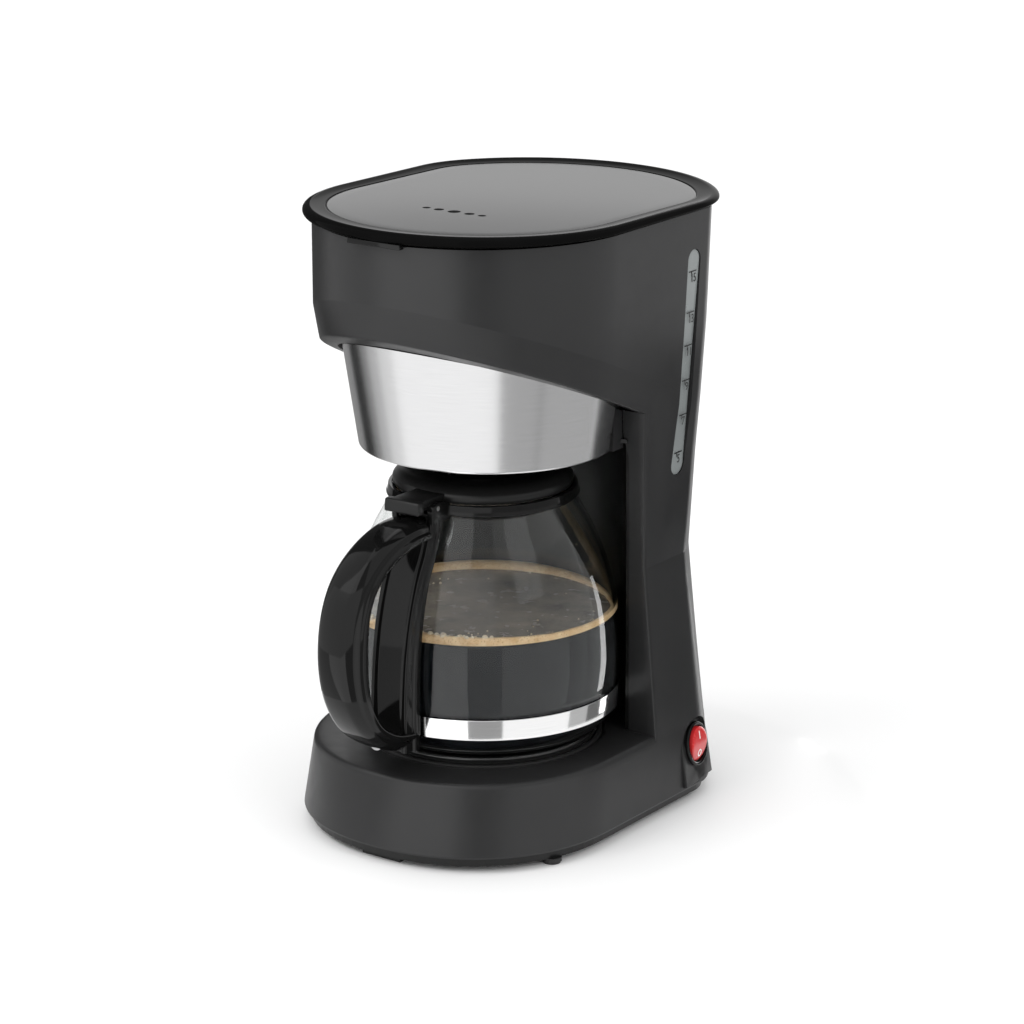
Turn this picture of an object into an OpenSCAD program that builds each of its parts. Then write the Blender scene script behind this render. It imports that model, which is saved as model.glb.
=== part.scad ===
// Drip coffee maker: base with warming plate, waisted column with water tank, brew head over a glass carafe.
// X is the width, -Y the front (the carafe side), Z is up; the feet stand on z = 0.

/* [Overall] */
// Height of the closed lid above the table
total_h = 325; // [324:0.5:327]
// Thickness of the moulded walls
wall = 2.5; // [2:0.1:2.8]
// Centre of the carafe and warming plate on the Y axis
carafe_y = -5.5; // [-6:0.5:-5]
// Centre of the brew funnel on the Y axis
funnel_y = -1; // [-1.5:0.5:0]

/* [Lid] */
// Half of the lid's width
lid_hw = 89.3; // [88.8:0.1:90]
// How far the lid rim stands out past the housing
lid_overhang = 4.8; // [4:0.1:5.5]
// Height of the lid's rim
lid_rim_h = 5.5; // [5:0.1:5.5]
// Width of the rim round the inlaid panel
lid_rim_w = 11.5; // [10:0.5:13]

/* [Base] */
// Underside of the base moulding
base_z = 8; // [7:0.5:9]
// Top of the base deck
deck_z = 45; // [44:0.5:46]
// Height of the joint between base and upper housing
waist_z = 136; // [132:1:140]

/* [Brew head] */
// Height of the housing's edge at the front of the column
soffit_z = 220; // [218:1:222]
// Drop of the slanted lower edge for each millimetre towards the back
soffit_slope = 0.42; // [0.38:0.01:0.44]
// Lower edge of the steel band
band_z = 199.6; // [199:0.2:201]
// Radius of the steel band at its lower edge
band_r = 65.5; // [64:0.5:66]
// Growth of the band's radius for each millimetre of height
band_taper = 0.149; // [0.14:0.001:0.15]
// Angle that the steel band covers round the front
band_angle = 204; // [180:2:210]

/* [Carafe] */
// Wall thickness of the glass
glass_t = 2.2; // [1.8:0.1:2.4]
// Width of the carafe handle
handle_w = 26; // [22:1:28]
// Radius of the recess in the column that the carafe stands in
recess_r = 76; // [75:0.5:77]

/* [Warming plate] */
// Radius of the warming plate
plate_r = 59.5; // [57:0.5:60]
// Top of the warming plate
plate_z = 49; // [48.5:0.1:49]

/* [Switch] */
// Centre of the rocker switch
switch_at = [83.6, 71, 30];
// Turn of the switch towards the back, in degrees
switch_yaw = 8; // [0:1:12]
// Lean of the switch face, in degrees
switch_tilt = 9; // [5:1:12]
// Radius of the bezel
bezel_r = 11.8; // [11.5:0.1:12.5]
// Rocker angle either side of level
rocker_half_angle = 8; // [4:1:9]

/* [Level window] */
// Width of the level window
window_w = 11.5; // [10:0.5:12]
// Upper and lower centres of the window's round ends, as [y, z]
window_top = [60.6, 293];
window_foot = [52.8, 187];
// Heights of the level marks, full tank first
level_z = [287, 266, 249, 231, 213, 193];

/* [Hidden] */

charcoal = [0.20, 0.20, 0.205];
gloss_black = [0.06, 0.06, 0.065];
matte_black = [0.09, 0.09, 0.09];
steel = [0.72, 0.72, 0.72];
bright = [0.85, 0.85, 0.86];
rubber = [0.08, 0.08, 0.08];
silicone = [0.85, 0.85, 0.82];
clear = [0.75, 0.80, 0.80, 0.35];

big = 400;                     // larger than any part of the machine
eps = 0.01;
lid_z = total_h - lid_rim_h;   // underside of the lid's rim
rim_z = lid_z - 1.5;           // top edge of the upper housing
lid_front = -96.8;
lid_back = 134.8;

// ---- plan outlines -------------------------------------------------------------------------------------
// A level of a body is [z, half width, front, back, corner_y, corner_r, squareness]: a round front of the
// given half width, straight sides, corners round (half width - corner_r, corner_y), and a bowed back.
base_levels = [[base_z, 86, -101.8, 134, 71, 30, 2.15],
               [deck_z - 3, 83.2, -94.6, 128.2, 71, 26, 2.15],
               [deck_z - 0.8, 82.4, -93.6, 127.4, 71, 25, 2.15],
               [deck_z, 80.4, -91.8, 125.6, 71, 24, 2.15]];
column_levels = [[deck_z - 2, 83.1, -94, 128, 71, 25, 2.15],
                 [waist_z, 77.5, -85, 120.6, 64, 10, 2]];
upper_levels = [[waist_z, 77.5, -85, 120.6, 64, 10, 2],
                [190, 81.2, -89.5, 121.5, 64.8, 9, 2],
                [soffit_z, 83.7, -92, 123, 65.5, 8, 2],
                [260, 84.3, -92.3, 126.5, 69.5, 8, 2],
                [rim_z, lid_hw - lid_overhang, -92.2, 129, 73, 8, 2]];
// Front face of the column, as [y, z]
column_face = [[22.7, soffit_z], [28, waist_z], [32, deck_z]];

function signed_pow(v, e) = sign(v) * pow(abs(v), e);
function arc(cx, cy, r, from, to, steps) =
    [for (i = [0:steps]) let (a = from + (to - from) * i / steps) [cx + r * cos(a), cy + r * sin(a)]];
function front_arc(hw, front, square, steps) =
    [for (i = [0:steps]) let (a = 180 + 180 * i / steps)
        [hw * signed_pow(cos(a), 2 / square), front + hw + hw * signed_pow(sin(a), 2 / square)]];
function without_last(list) = [for (i = [0:len(list) - 2]) list[i]];
function without_ends(list) = [for (i = [1:len(list) - 2]) list[i]];
function plan(hw, front, back, corner_y, corner_r, square = 2) =
    let (cx = hw - corner_r, d = back - corner_y,
         r = (cx * cx + d * d - corner_r * corner_r) / (2 * (d - corner_r)),
         a = atan2(corner_y - back + r, cx))
    concat(front_arc(hw, front, square, 36), arc(cx, corner_y, corner_r, 0, a, 6),
           without_ends(arc(0, back - r, r, a, 180 - a, 16)), arc(-cx, corner_y, corner_r, 180 - a, 180, 6));
function level_plan(level, inset) =
    plan(level[1] - inset, level[2] + inset, level[3] - inset, level[4], max(level[5] - inset, 2), level[6]);
function rings(levels, inset = 0) =
    [for (level = levels) [for (p = level_plan(level, inset)) [p[0], p[1], level[0]]]];
function stretched(levels, z0, z1) =
    [for (i = [0:len(levels) - 1]) let (l = levels[i])
        concat([i == 0 ? z0 : i == len(levels) - 1 ? z1 : l[0]], [for (k = [1:6]) l[k]])];
function soffit_at(y) = soffit_z - soffit_slope * (y - column_face[0][0]);
function band_r_at(z) = band_r + band_taper * (z - band_z);

// A closed skin through rings of equally many points
module skin(all_rings) {
    n = len(all_rings[0]);
    last = len(all_rings) - 1;
    points = [for (r = all_rings) for (p = r) p];
    bottom = [[for (i = [0:n - 1]) i]];
    top = [[for (i = [n - 1:-1:0]) last * n + i]];
    sides = [for (k = [0:last - 1]) for (i = [0:n - 1]) let (j = (i + 1) % n, a = k * n, b = (k + 1) * n)
        each [[a + i, b + i, b + j], [a + i, b + j, a + j]]];
    polyhedron(points, concat(bottom, sides, top));
}

// ---- tubes along a route -------------------------------------------------------------------------------
function unit(v) = v / norm(v);
function spline_at(p0, p1, p2, p3, t) =
    0.5 * (2 * p1 + (p2 - p0) * t + (2 * p0 - 5 * p1 + 4 * p2 - p3) * t * t
           + (3 * p1 - p0 - 3 * p2 + p3) * t * t * t);
function spline(pts, steps) = let (n = len(pts))
    concat([for (i = [0:n - 2]) for (k = [0:steps - 1])
        spline_at(pts[max(i - 1, 0)], pts[i], pts[i + 1], pts[min(i + 2, n - 1)], k / steps)], [pts[n - 1]]);
function direction(path, i) = unit(path[min(i + 1, len(path) - 1)] - path[max(i - 1, 0)]);
function side_vectors(path) = [for (i = 0, t = direction(path, 0),
        u = unit(cross(t, abs(t[2]) < 0.9 ? [0, 0, 1] : [1, 0, 0]));
    i < len(path);
    i = i + 1, t = i < len(path) ? direction(path, i) : t, u = unit(u - (u * t) * t)) [u, cross(t, u)]];
function tube_rings(path, r, sides) = let (frames = side_vectors(path))
    [for (i = [0:len(path) - 1]) [for (k = [0:sides - 1])
        let (a = 360 * k / sides) path[i] + r * (cos(a) * frames[i][0] + sin(a) * frames[i][1])]];
module tube(path, r, sides = 10) skin(tube_rings(path, r, sides));

// ---- building blocks -----------------------------------------------------------------------------------
// Extrudes an outline drawn in the side view (y, z) across the width
module side_prism(points, w) {
    rotate([90, 0, 90]) linear_extrude(height = w, center = true) polygon(points);
}
module along_y(at, r, l) translate(at) rotate([-90, 0, 0]) cylinder(r = r, h = l, $fn = 48);
module along_x(at, r, l) translate(at) rotate([0, 90, 0]) cylinder(r = r, h = l, $fn = 48);
module ring(r_out, r_in, h) difference() {
    cylinder(r = r_out, h = h, $fn = 96);
    translate([0, 0, -1]) cylinder(r = r_in, h = h + 2, $fn = 96);
}
// A pan-head screw, its head's underside at the origin and its shank going up
module screw(shank_r, shank_l, head_r, head_h) {
    translate([0, 0, -eps]) cylinder(r = shank_r, h = shank_l + eps, $fn = 24);
    translate([0, 0, -head_h]) difference() {
        cylinder(r = head_r, h = head_h, $fn = 32);
        for (a = [0, 90]) rotate(a) translate([-head_r * 0.6, -0.4, -1]) cube([head_r * 1.2, 0.8, 1.8]);
    }
}
module mirrored() {
    children();
    mirror([1, 0, 0]) children();
}

// Space behind the column's front face, moved back by an inset
module behind_face(inset) side_prism([[column_face[0][0] + inset - 0.65, soffit_z + 10],
    [column_face[0][0] + inset, soffit_z], [column_face[1][0] + inset, waist_z],
    [column_face[2][0] + inset, deck_z], [column_face[2][0] + inset + 0.3, deck_z - 4],
    [big, deck_z - 4], [big, soffit_z + 10]], big);
// Space above the slanted lower edge of the brew head, raised by an inset
module above_soffit(inset) side_prism([[-big, soffit_at(-big) + inset], [column_face[0][0], soffit_z + inset],
    [big, soffit_z + inset], [big, big + 100], [-big, big + 100]], big);
recess_top = band_z + 3.4;     // ceiling of the carafe's recess
module recess(grow, z0, z1) translate([0, carafe_y, z0]) cylinder(r = recess_r + grow, h = z1 - z0, $fn = 120);

screw_spots = [[58, -62], [-58, -62], [58, 98], [-58, 98]];
foot_spots = [[74, -49], [-74, -49], [56, 108], [-56, 108]];
front_foot = [24, 9];
foot_r = 5;
column_screw_x = 66;
column_screw_y = 58;

// ---- base ----------------------------------------------------------------------------------------------
module base_housing() color(charcoal) difference() {
    union() {
        difference() {
            union() {
                skin(rings(base_levels));
                intersection() {
                    skin(rings(column_levels));
                    behind_face(0);
                }
            }
            skin(rings(stretched(base_levels, base_z - 1, deck_z - wall), wall));
            intersection() {
                skin(rings(stretched(column_levels, deck_z - wall - 3, waist_z + 1), wall));
                behind_face(wall);
                difference() {
                    translate([-big / 2, -big / 2, 0]) cube([big, big, big]);
                    recess(wall, 0, deck_z + big);
                }
            }
            recess(0, deck_z, waist_z + 1);
        }
        for (p = screw_spots) translate([p[0], p[1], base_z + 0.2]) cylinder(r = 4, h = deck_z - wall - base_z, $fn = 32);
        column_post(waist_z - 14, 14);
        back_post_ribs();
        switch_pad(0);
    }
    translate([0, carafe_y, deck_z - 10]) cylinder(r = plate_r + 2.6, h = 20, $fn = 120);
    for (p = screw_spots) translate([p[0], p[1], 0]) cylinder(r = 1.5, h = 24, $fn = 24);
    mirrored() translate([column_screw_x, column_screw_y, waist_z - 15]) cylinder(r = 1.6, h = 20, $fn = 24);
    switch_recess();
    at_switch() along_x([-30, 0, 0], 10.9, 40);
    along_y([0, 110, gland_z], 6.5, 40);
    along_y([0, 131.35, gland_z], 9.1, 10);
}
gland_z = 26;

// Post for a screw between the two housings, with a rib out to the side wall
module column_post(z, h) mirrored() translate([column_screw_x, column_screw_y, z]) {
    cylinder(r = 4, h = h, $fn = 32);
    translate([0, -1.2, 0]) cube([10.5, 2.4, h]);
}
// Ribs from the rear screw posts out to the base's wall
module back_post_ribs() intersection() {
    skin(rings(base_levels, 0.5));
    mirrored() translate([screw_spots[2][0], screw_spots[2][1] - 1.2, base_z + 0.2]) cube([20, 2.4, 24]);
}

module at_switch() translate(switch_at) rotate([0, 0, switch_yaw]) rotate([0, -switch_tilt, 0]) children();
// Wall behind the switch, thick enough for the arched recess
module switch_pad(grow) intersection() {
    skin(rings(base_levels, 0.3));
    at_switch() translate([-5.5, 0, 0]) union() {
        along_x([0, 0, 0], 16, 4);
        translate([0, -16, -20]) cube([4, 32, 20]);
    }
}
// Arched recess: deepest above the switch, running out at the foot of the base
module switch_recess() at_switch() {
    along_x([-1, 0, 0], 14.5, 20);
    translate([-1, -14.5, -30]) cube([20, 29, 30]);
}

module bottom_plate() color(matte_black) difference() {
    skin(rings([[3.2, 82.6, -98.4, 130.6, 70, 27, 2.15], [base_z - 0.2, 83.4, -99.2, 131.4, 70, 28, 2.15]]));
    for (p = screw_spots) translate([p[0], p[1], 0]) {
        cylinder(r = 1.8, h = 20, $fn = 24);
        cylinder(r = 4.2, h = 5.2, $fn = 32);
    }
    for (i = [-4:4], j = [0:3]) translate([i * 9 - 2, 8 + j * 14 - 28, 0]) cube([4, 9, 20]);
}

module rubber_feet() color(rubber) {
    translate([-front_foot[0] / 2, -94.5, 0]) cube([front_foot[0], front_foot[1], 3.2]);
    for (p = foot_spots) translate([p[0], p[1], 0]) {
        cylinder(r1 = foot_r - 0.6, r2 = foot_r, h = 1, $fn = 48);
        translate([0, 0, 1]) cylinder(r = foot_r, h = 2.2, $fn = 48);
    }
}

module bottom_screws() color(steel) for (p = screw_spots)
    translate([p[0], p[1], 5.2]) screw(1.5, 14, 3, 1.8);

// ---- upper housing -------------------------------------------------------------------------------------
module upper_housing() color(charcoal) difference() {
    union() {
        difference() {
            intersection() {
                skin(rings(upper_levels));
                union() {
                    behind_face(0);
                    above_soffit(0);
                }
            }
            intersection() {
                skin(rings(stretched(upper_levels, waist_z - 1, rim_z + 1), wall));
                union() {
                    difference() {
                        behind_face(wall);
                        recess(wall, 0, recess_top + wall);
                    }
                    above_soffit(wall + 0.2);
                }
            }
            recess(0, waist_z - 1, recess_top);
        }
        column_post(waist_z, 6);
        mirrored() hinge_lug();
    }
    translate([0, funnel_y, band_z - 10])
        cylinder(r1 = band_r_at(band_z - 10) + 1.4, r2 = band_r_at(band_z + 80) + 1.4, h = 90, $fn = 120);
    mirrored() translate([column_screw_x, column_screw_y, waist_z - 1]) cylinder(r = 1.8, h = 12, $fn = 24);
    window_slot(0);
    along_x([-25, hinge_at[0], hinge_at[1]], hinge_pin_r, 50);
}
hinge_at = [132.2, 313.5];     // lid axis, as [y, z]
hinge_pin_r = 1.5;
barrel_r = 3;
knuckle_hw = 14.6;
module hinge_lug() {
    along_x([knuckle_hw + 0.4, hinge_at[0], hinge_at[1]], barrel_r, 7);
    translate([knuckle_hw + 0.4, 125.5, hinge_at[1] - barrel_r]) cube([7, hinge_at[0] - 125.5, 2 * barrel_r]);
}

module housing_screws() color(steel) mirrored()
    translate([column_screw_x, column_screw_y, waist_z + 6]) mirror([0, 0, 1]) screw(1.6, 18, 3, 1.8);

module column_cover() color(matte_black) intersection() {
    translate([0, carafe_y, deck_z + 0.3]) ring(recess_r - 0.1, recess_r - 1.8, recess_top - deck_z - 0.5);
    behind_face(0.6);
}

module window_slot(shrink) {
    lean = atan2(window_top[0] - window_foot[0], window_top[1] - window_foot[1]);
    length = norm(window_top - window_foot);
    translate([60, window_foot[0], window_foot[1]]) rotate([-lean, 0, 0]) {
        along_x([0, 0, 0], window_w / 2 - shrink, 40);
        along_x([0, 0, length], window_w / 2 - shrink, 40);
        translate([0, -window_w / 2 + shrink, 0]) cube([40, window_w - 2 * shrink, length]);
    }
}
module level_window() color(clear) intersection() {
    difference() {
        skin(rings(upper_levels, 0.4));
        skin(rings(stretched(upper_levels, waist_z - 1, rim_z + 1), wall));
    }
    window_slot(0.05);
}

module level_marks() color(matte_black) intersection() {
    difference() {
        skin(rings(upper_levels, 0.1));
        skin(rings(upper_levels, 0.35));
    }
    for (z = level_z) let (y = window_foot[0] + (z - window_foot[1])
            * (window_top[0] - window_foot[0]) / (window_top[1] - window_foot[1])) {
        translate([60, y - 3.4, z]) cube([40, 6.8, 0.7]);
        translate([60, y - 0.35, z - 3.5]) cube([40, 0.7, 3.6]);
    }
}

// ---- water system --------------------------------------------------------------------------------------
tank_z = waist_z + 8.5;
tank_top = 296;
tank_front = 44;
tank_wall = 2;
tank_cyl_r = 80;
inlet_at = [-26, 95];
riser_at = [26, 95];
pipe_r = 3.6;
hose_r = 6;
module tank_space(inset, z0) difference() {
    intersection() {
        skin(rings(stretched(upper_levels, z0, tank_top + inset), wall + 1 + inset));
        translate([-big / 2, tank_front + inset, 0]) cube([big, big, big]);
    }
    translate([0, funnel_y - 1, 0]) cylinder(r = tank_cyl_r + inset, h = big, $fn = 120);
}
module water_tank() color([0.75, 0.80, 0.80, 0.6]) difference() {
    union() {
        difference() {
            tank_space(0, tank_z);
            tank_space(tank_wall, tank_z + tank_wall);
        }
        translate([inlet_at[0], inlet_at[1], tank_z - 9]) cylinder(r = pipe_r + 1.2, h = 10, $fn = 48);
    }
    translate([inlet_at[0], inlet_at[1], tank_z - 10]) cylinder(r = pipe_r - 0.6, h = 20, $fn = 48);
    translate([riser_at[0], riser_at[1], tank_z - 10]) cylinder(r = hose_r + 0.1, h = 20, $fn = 48);
}

tail_end = [18, 50, 34];
cold_route = [[-18, 49, 34.4], [-18, 56, 32], [-20, 68, 30], [-24, 84, 33], [-26, 93, 44], [-26, 95, 60],
              [-26, 95, 90], [-26, 95, 120], [-26, 95, tank_z - 0.4]];
riser_route = [[18, 49, 34.4], [18, 56, 32], [20, 68, 30], [24, 84, 33], [26, 93, 44], [26, 95, 60],
               [26, 95, 100], [26, 95, 160], [26, 95, 230], [26, 95, 296.4]];
module hose(route) difference() {
    tube(spline(route, 4), hose_r, 12);
    translate([route[0][0], route[0][1], route[0][2]]) rotate([-90 - 20, 0, 0])
        translate([0, 0, -1]) cylinder(r = pipe_r + 0.9, h = 9, $fn = 32);
}
module cold_water_hose() color(silicone) difference() {
    hose(cold_route);
    translate([inlet_at[0], inlet_at[1], tank_z - 12]) cylinder(r = pipe_r + 1.3, h = 14, $fn = 48);
}
module riser_hose() color(silicone) difference() {
    hose(riser_route);
    translate([riser_at[0], riser_at[1], 285]) cylinder(r = pipe_r + 0.1, h = 20, $fn = 48);
}
// One-way valve pushed into the tank outlet
module check_valve() color([0.8, 0.3, 0.2]) translate([inlet_at[0], inlet_at[1], tank_z - 6.8]) {
    ring(pipe_r - 0.7, 1.4, 9);
    translate([0, 0, 9]) ring(pipe_r + 0.6, 1.4, 1);
}
module hose_clamps() color(steel) {
    translate([inlet_at[0], inlet_at[1], tank_z - 6]) ring(hose_r + 0.9, hose_r + 0.1, 4);
    translate([riser_at[0], riser_at[1], 288]) ring(hose_r + 0.9, hose_r + 0.1, 4);
    for (x = [-18, 18]) translate([x, 49, 34.4]) rotate([-90 - 17, 0, 0]) translate([0, 0, 2.5])
        ring(hose_r + 1.4, hose_r + 0.5, 3.5);
}
// Elbow on the riser that carries the hot water over the basket
spout_z = 305.5;
spout_tip = [10, 46];
spout_r = 4;
elbow_r = 4.6;
module water_spout() color(matte_black) {
    arm = [spout_tip[0] - riser_at[0], spout_tip[1] - riser_at[1], 0];
    turn = atan2(arm[1], arm[0]);
    translate([riser_at[0], riser_at[1], 286]) cylinder(r = pipe_r, h = spout_z - 286, $fn = 48);
    translate([riser_at[0], riser_at[1], 296.6]) cylinder(r = 7, h = 2, $fn = 48);
    translate([riser_at[0], riser_at[1], spout_z]) sphere(r = elbow_r, $fn = 48);
    translate([riser_at[0], riser_at[1], spout_z]) rotate([0, 90, turn])
        cylinder(r = spout_r, h = norm(arm), $fn = 48);
    translate([spout_tip[0], spout_tip[1], spout_z]) sphere(r = elbow_r, $fn = 48);
    translate([spout_tip[0], spout_tip[1], spout_z - 6.5]) cylinder(r = spout_r - 0.4, h = 6.5, $fn = 48);
}

// ---- brew head -----------------------------------------------------------------------------------------
funnel_top = 290.6;
neck_r = 18;
neck_z = 193;
neck_top = 202;
funnel_wall = 2.2;
cone_top = 270;
module cone_solid(inset, z0, z1) translate([0, funnel_y, z0])
    cylinder(r1 = band_r_at(z0) - inset, r2 = band_r_at(z1) - inset, h = z1 - z0, $fn = 120);
module brew_funnel() color(matte_black) difference() {
    union() {
        cone_solid(0, band_z + 0.4, cone_top);
        translate([0, funnel_y, cone_top]) cylinder(r = band_r_at(cone_top), h = funnel_top - cone_top, $fn = 120);
        translate([0, carafe_y, neck_z]) cylinder(r = neck_r, h = neck_top - neck_z, $fn = 96);
        intersection() {
            translate([0, 0, funnel_top - 2]) linear_extrude(height = 2)
                polygon(plan(lid_hw - lid_overhang - wall - 0.5, -89, 125, 70, 6));
            union() {
                translate([-big / 2, -big + tank_front - 0.6, 0]) cube([big, big, big]);
                translate([0, funnel_y - 1, 0]) cylinder(r = tank_cyl_r - 0.6, h = big, $fn = 120);
            }
        }
        // straight cheeks that run from the cone back to the column
        difference() {
            translate([-66.6, 14.6, band_z + 0.4]) cube([133.2, 8.8, 60]);
            above_soffit(-0.3);
            behind_face(-0.3);
        }
    }
    cone_solid(funnel_wall, band_z + 3, cone_top + eps);
    translate([0, funnel_y, cone_top])
        cylinder(r = band_r_at(cone_top) - funnel_wall, h = funnel_top, $fn = 120);
    translate([0, carafe_y, neck_z - 1]) cylinder(r = neck_r - 3, h = neck_top - 4 - neck_z + 1, $fn = 96);
    translate([0, carafe_y, neck_z]) cylinder(r = 5.2, h = 20, $fn = 48);
}

module steel_band() color(steel) intersection() {
    translate([0, funnel_y, 0]) rotate([0, 0, -90 - band_angle / 2]) rotate_extrude(angle = band_angle, $fn = 120)
        polygon([[band_r_at(band_z) + 0.2, band_z], [band_r_at(band_z) + 1, band_z],
                 [band_r_at(cone_top) + 1, cone_top], [band_r_at(cone_top) + 0.2, cone_top]]);
    difference() {
        translate([-big / 2, -big / 2, 0]) cube([big, big, big]);
        above_soffit(3);
    }
}

basket_z = 209;
basket_clearance = 1.2;
module basket_cup(inset, z0, z1) cone_solid(funnel_wall + basket_clearance + inset, z0, z1);
module filter_basket() color(gloss_black) difference() {
    union() {
        basket_cup(0, basket_z, 268);
        translate([0, funnel_y, 268]) cylinder(r = band_r_at(268) - funnel_wall - basket_clearance, h = 25, $fn = 120);
        translate([0, funnel_y, 291]) cylinder(r = 75.6, h = 2, $fn = 120);
        translate([-9, funnel_y - 75, 291]) cube([18, 8, 3.4]);
    }
    basket_cup(2, basket_z + 2, 268 + eps);
    translate([0, funnel_y, 268]) cylinder(r = band_r_at(268) - funnel_wall - basket_clearance - 2, h = 40, $fn = 120);
    for (a = [0:60:300]) rotate(a) translate([0, 0, basket_z - 1]) cylinder(r = 2.5, h = 6, $fn = 24);
    translate([0, carafe_y, basket_z - 1]) cylinder(r = 8.5, h = 6, $fn = 48);
}

// Permanent filter: a fine cup with a rim, a wire loop grip and slots covered by mesh
mesh_z = 213;
module mesh_filter() color([0.80, 0.68, 0.35]) difference() {
    union() {
        basket_cup(3.2, mesh_z, 266);
        translate([0, funnel_y, 266]) cylinder(r = 69.2, h = 22, $fn = 120);
        translate([0, funnel_y, 286.5]) cylinder(r = 70, h = 2, $fn = 120);
    }
    basket_cup(4.2, mesh_z + 1.2, 266 + eps);
    translate([0, funnel_y, 266]) cylinder(r = 68, h = 40, $fn = 120);
}

module drip_valve() color(matte_black) translate([0, carafe_y, 0]) {
    translate([0, 0, 202.9]) cylinder(r = 7, h = 1.6, $fn = 48);
    translate([0, 0, 191]) cylinder(r = 3.4, h = 12.2, $fn = 48);
    translate([0, 0, 189.6]) cylinder(r = 7.5, h = 1.8, $fn = 48);
}
module valve_seal() color(silicone) translate([0, carafe_y, 202.62]) ring(6.8, 3.4, 0.28);
spring_turns = 4;
module drip_spring() color(steel) translate([0, carafe_y, 0])
    tube([for (i = [0:spring_turns * 12]) let (a = 30 * i)
        [5.2 * cos(a), 5.2 * sin(a), 191.9 + i * 5.6 / (spring_turns * 12)]], 0.4, 6);

// ---- lid -----------------------------------------------------------------------------------------------
lid_level = [0, lid_hw, lid_front, lid_back, 60, 55, 2];
rim_fall = 0.6;                // share of its height that the rim loses towards the back
function lid_ring(inset, z) = [for (p = level_plan(lid_level, inset)) [p[0], p[1], z]];
function rim_height(y, h) = h * (1 - rim_fall * (y - lid_front) / (lid_back - lid_front));
function rim_ring(inset, h) =
    [for (p = level_plan(lid_level, inset)) [p[0], p[1], lid_z + rim_height(p[1], h)]];
vent_x = [-17.1, -9.4, 0, 9.4, 17.1];
vent_r = [1.6, 2, 2.6, 2, 1.6];
vent_y = -29.5;
module vents(grow) for (i = [0:4]) translate([vent_x[i], vent_y, 300])
    scale([1, 0.7, 1]) cylinder(r = vent_r[i] + grow, h = 60, $fn = 24);
// The panel lies a little lower towards the back
panel_tilt = 1;
module tilted_with_panel() translate([0, 0, lid_z + 3.2]) rotate([-panel_tilt, 0, 0])
    translate([0, 0, -lid_z - 3.2]) children();
module lid() color(gloss_black) difference() {
    union() {
        skin([rim_ring(1.4, 0), rim_ring(0.3, 0.9), rim_ring(0, 2.2), rim_ring(0.4, 3.8), rim_ring(1.5, 5),
              rim_ring(3, lid_rim_h)]);
        skin([lid_ring(4.5, lid_z - 1), lid_ring(4.5, lid_z + 0.5)]);
        // finger tab under the front of the rim
        translate([-16, lid_front + 0.8, lid_z - 2.6]) cube([32, 3.2, 4]);
        // hinge knuckle
        along_x([-knuckle_hw, hinge_at[0], hinge_at[1]], barrel_r, 2 * knuckle_hw);
        translate([-knuckle_hw, 130.2, hinge_at[1]]) cube([2 * knuckle_hw, 4.4, lid_z + 1.5 - hinge_at[1]]);
    }
    intersection() {
        skin([lid_ring(lid_rim_w, lid_z - 10), rim_ring(lid_rim_w, 2.2), rim_ring(4, lid_rim_h + 0.2),
              rim_ring(4, lid_rim_h + 6)]);
        tilted_with_panel() translate([-big / 2, -big / 2, lid_z + 1.2]) cube([big, big, 20]);
    }
    along_x([-25, hinge_at[0], hinge_at[1]], hinge_pin_r + 0.35, 50);
    vents(0);
}
module lid_panel() color([0.45, 0.45, 0.46]) difference() {
    tilted_with_panel() skin([lid_ring(lid_rim_w + 0.3, lid_z + 1.3), lid_ring(lid_rim_w + 0.3, lid_z + 2.6),
                              lid_ring(lid_rim_w + 0.9, lid_z + 3)]);
    vents(0);
}
module lid_liner() color(matte_black) difference() {
    skin([lid_ring(12, lid_z - 6), lid_ring(11, lid_z - 1.1)]);
    skin([lid_ring(14, lid_z - 7), lid_ring(13, lid_z - 2.8)]);
    vents(0.6);
}
module hinge_pin() color(steel) along_x([-22, hinge_at[0], hinge_at[1]], hinge_pin_r, 44);

// ---- warming plate and heater --------------------------------------------------------------------------
module warming_plate() color(matte_black) translate([0, carafe_y, 0]) rotate_extrude($fn = 120)
    polygon([[0, plate_z - 2], [plate_r - 2.4, plate_z - 2], [plate_r - 2.4, deck_z - 1.5], [plate_r - 0.4, deck_z - 1.5],
             [plate_r, plate_z - 1.2], [plate_r - 1, plate_z], [0, plate_z]]);
module plate_seal() color(rubber) translate([0, carafe_y, deck_z - 3]) difference() {
    union() {
        ring(plate_r + 2.5, plate_r + 0.1, 3.4);
        translate([0, 0, -0.8]) ring(plate_r + 4.5, plate_r + 0.1, 1.2);
    }
    rotate(-52) translate([plate_r, -2, 2.4]) cube([5, 4, 5]);
}
element_r = 36;
element_z = 42.6;
module tail(x) {
    from = [x, 26.5, element_z];
    to = [x, 57, 31.8];
    d = to - from;
    translate(from) sphere(r = pipe_r + 0.5, $fn = 32);
    translate(from) rotate([-90 - atan2(-d[2], d[1]), 0, 0]) cylinder(r = pipe_r + 0.5, h = norm(d) - 3, $fn = 32);
}
module heating_element() color(bright) {
    translate([0, carafe_y, element_z]) rotate([0, 0, 120]) rotate_extrude(angle = 300, $fn = 96)
        translate([element_r, 0]) circle(r = pipe_r + 0.5, $fn = 32);
    translate([0, carafe_y, element_z]) rotate([0, 0, 110]) rotate_extrude(angle = 320, $fn = 96)
        translate([element_r + 7.6, 0]) circle(r = 3.5, $fn = 32);
    for (x = [-18, 18]) tail(x);
}
module element_clamp() color(steel) translate([0, carafe_y, 0]) {
    difference() {
        translate([-50, -7, 36.4]) cube([100, 14, 1.6]);
        translate([0, 0, 30]) cylinder(r = 2.2, h = 20, $fn = 32);
    }
    translate([0, 0, 36.4]) screw(2, 10.4, 3.8, 2.4);
}
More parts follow.
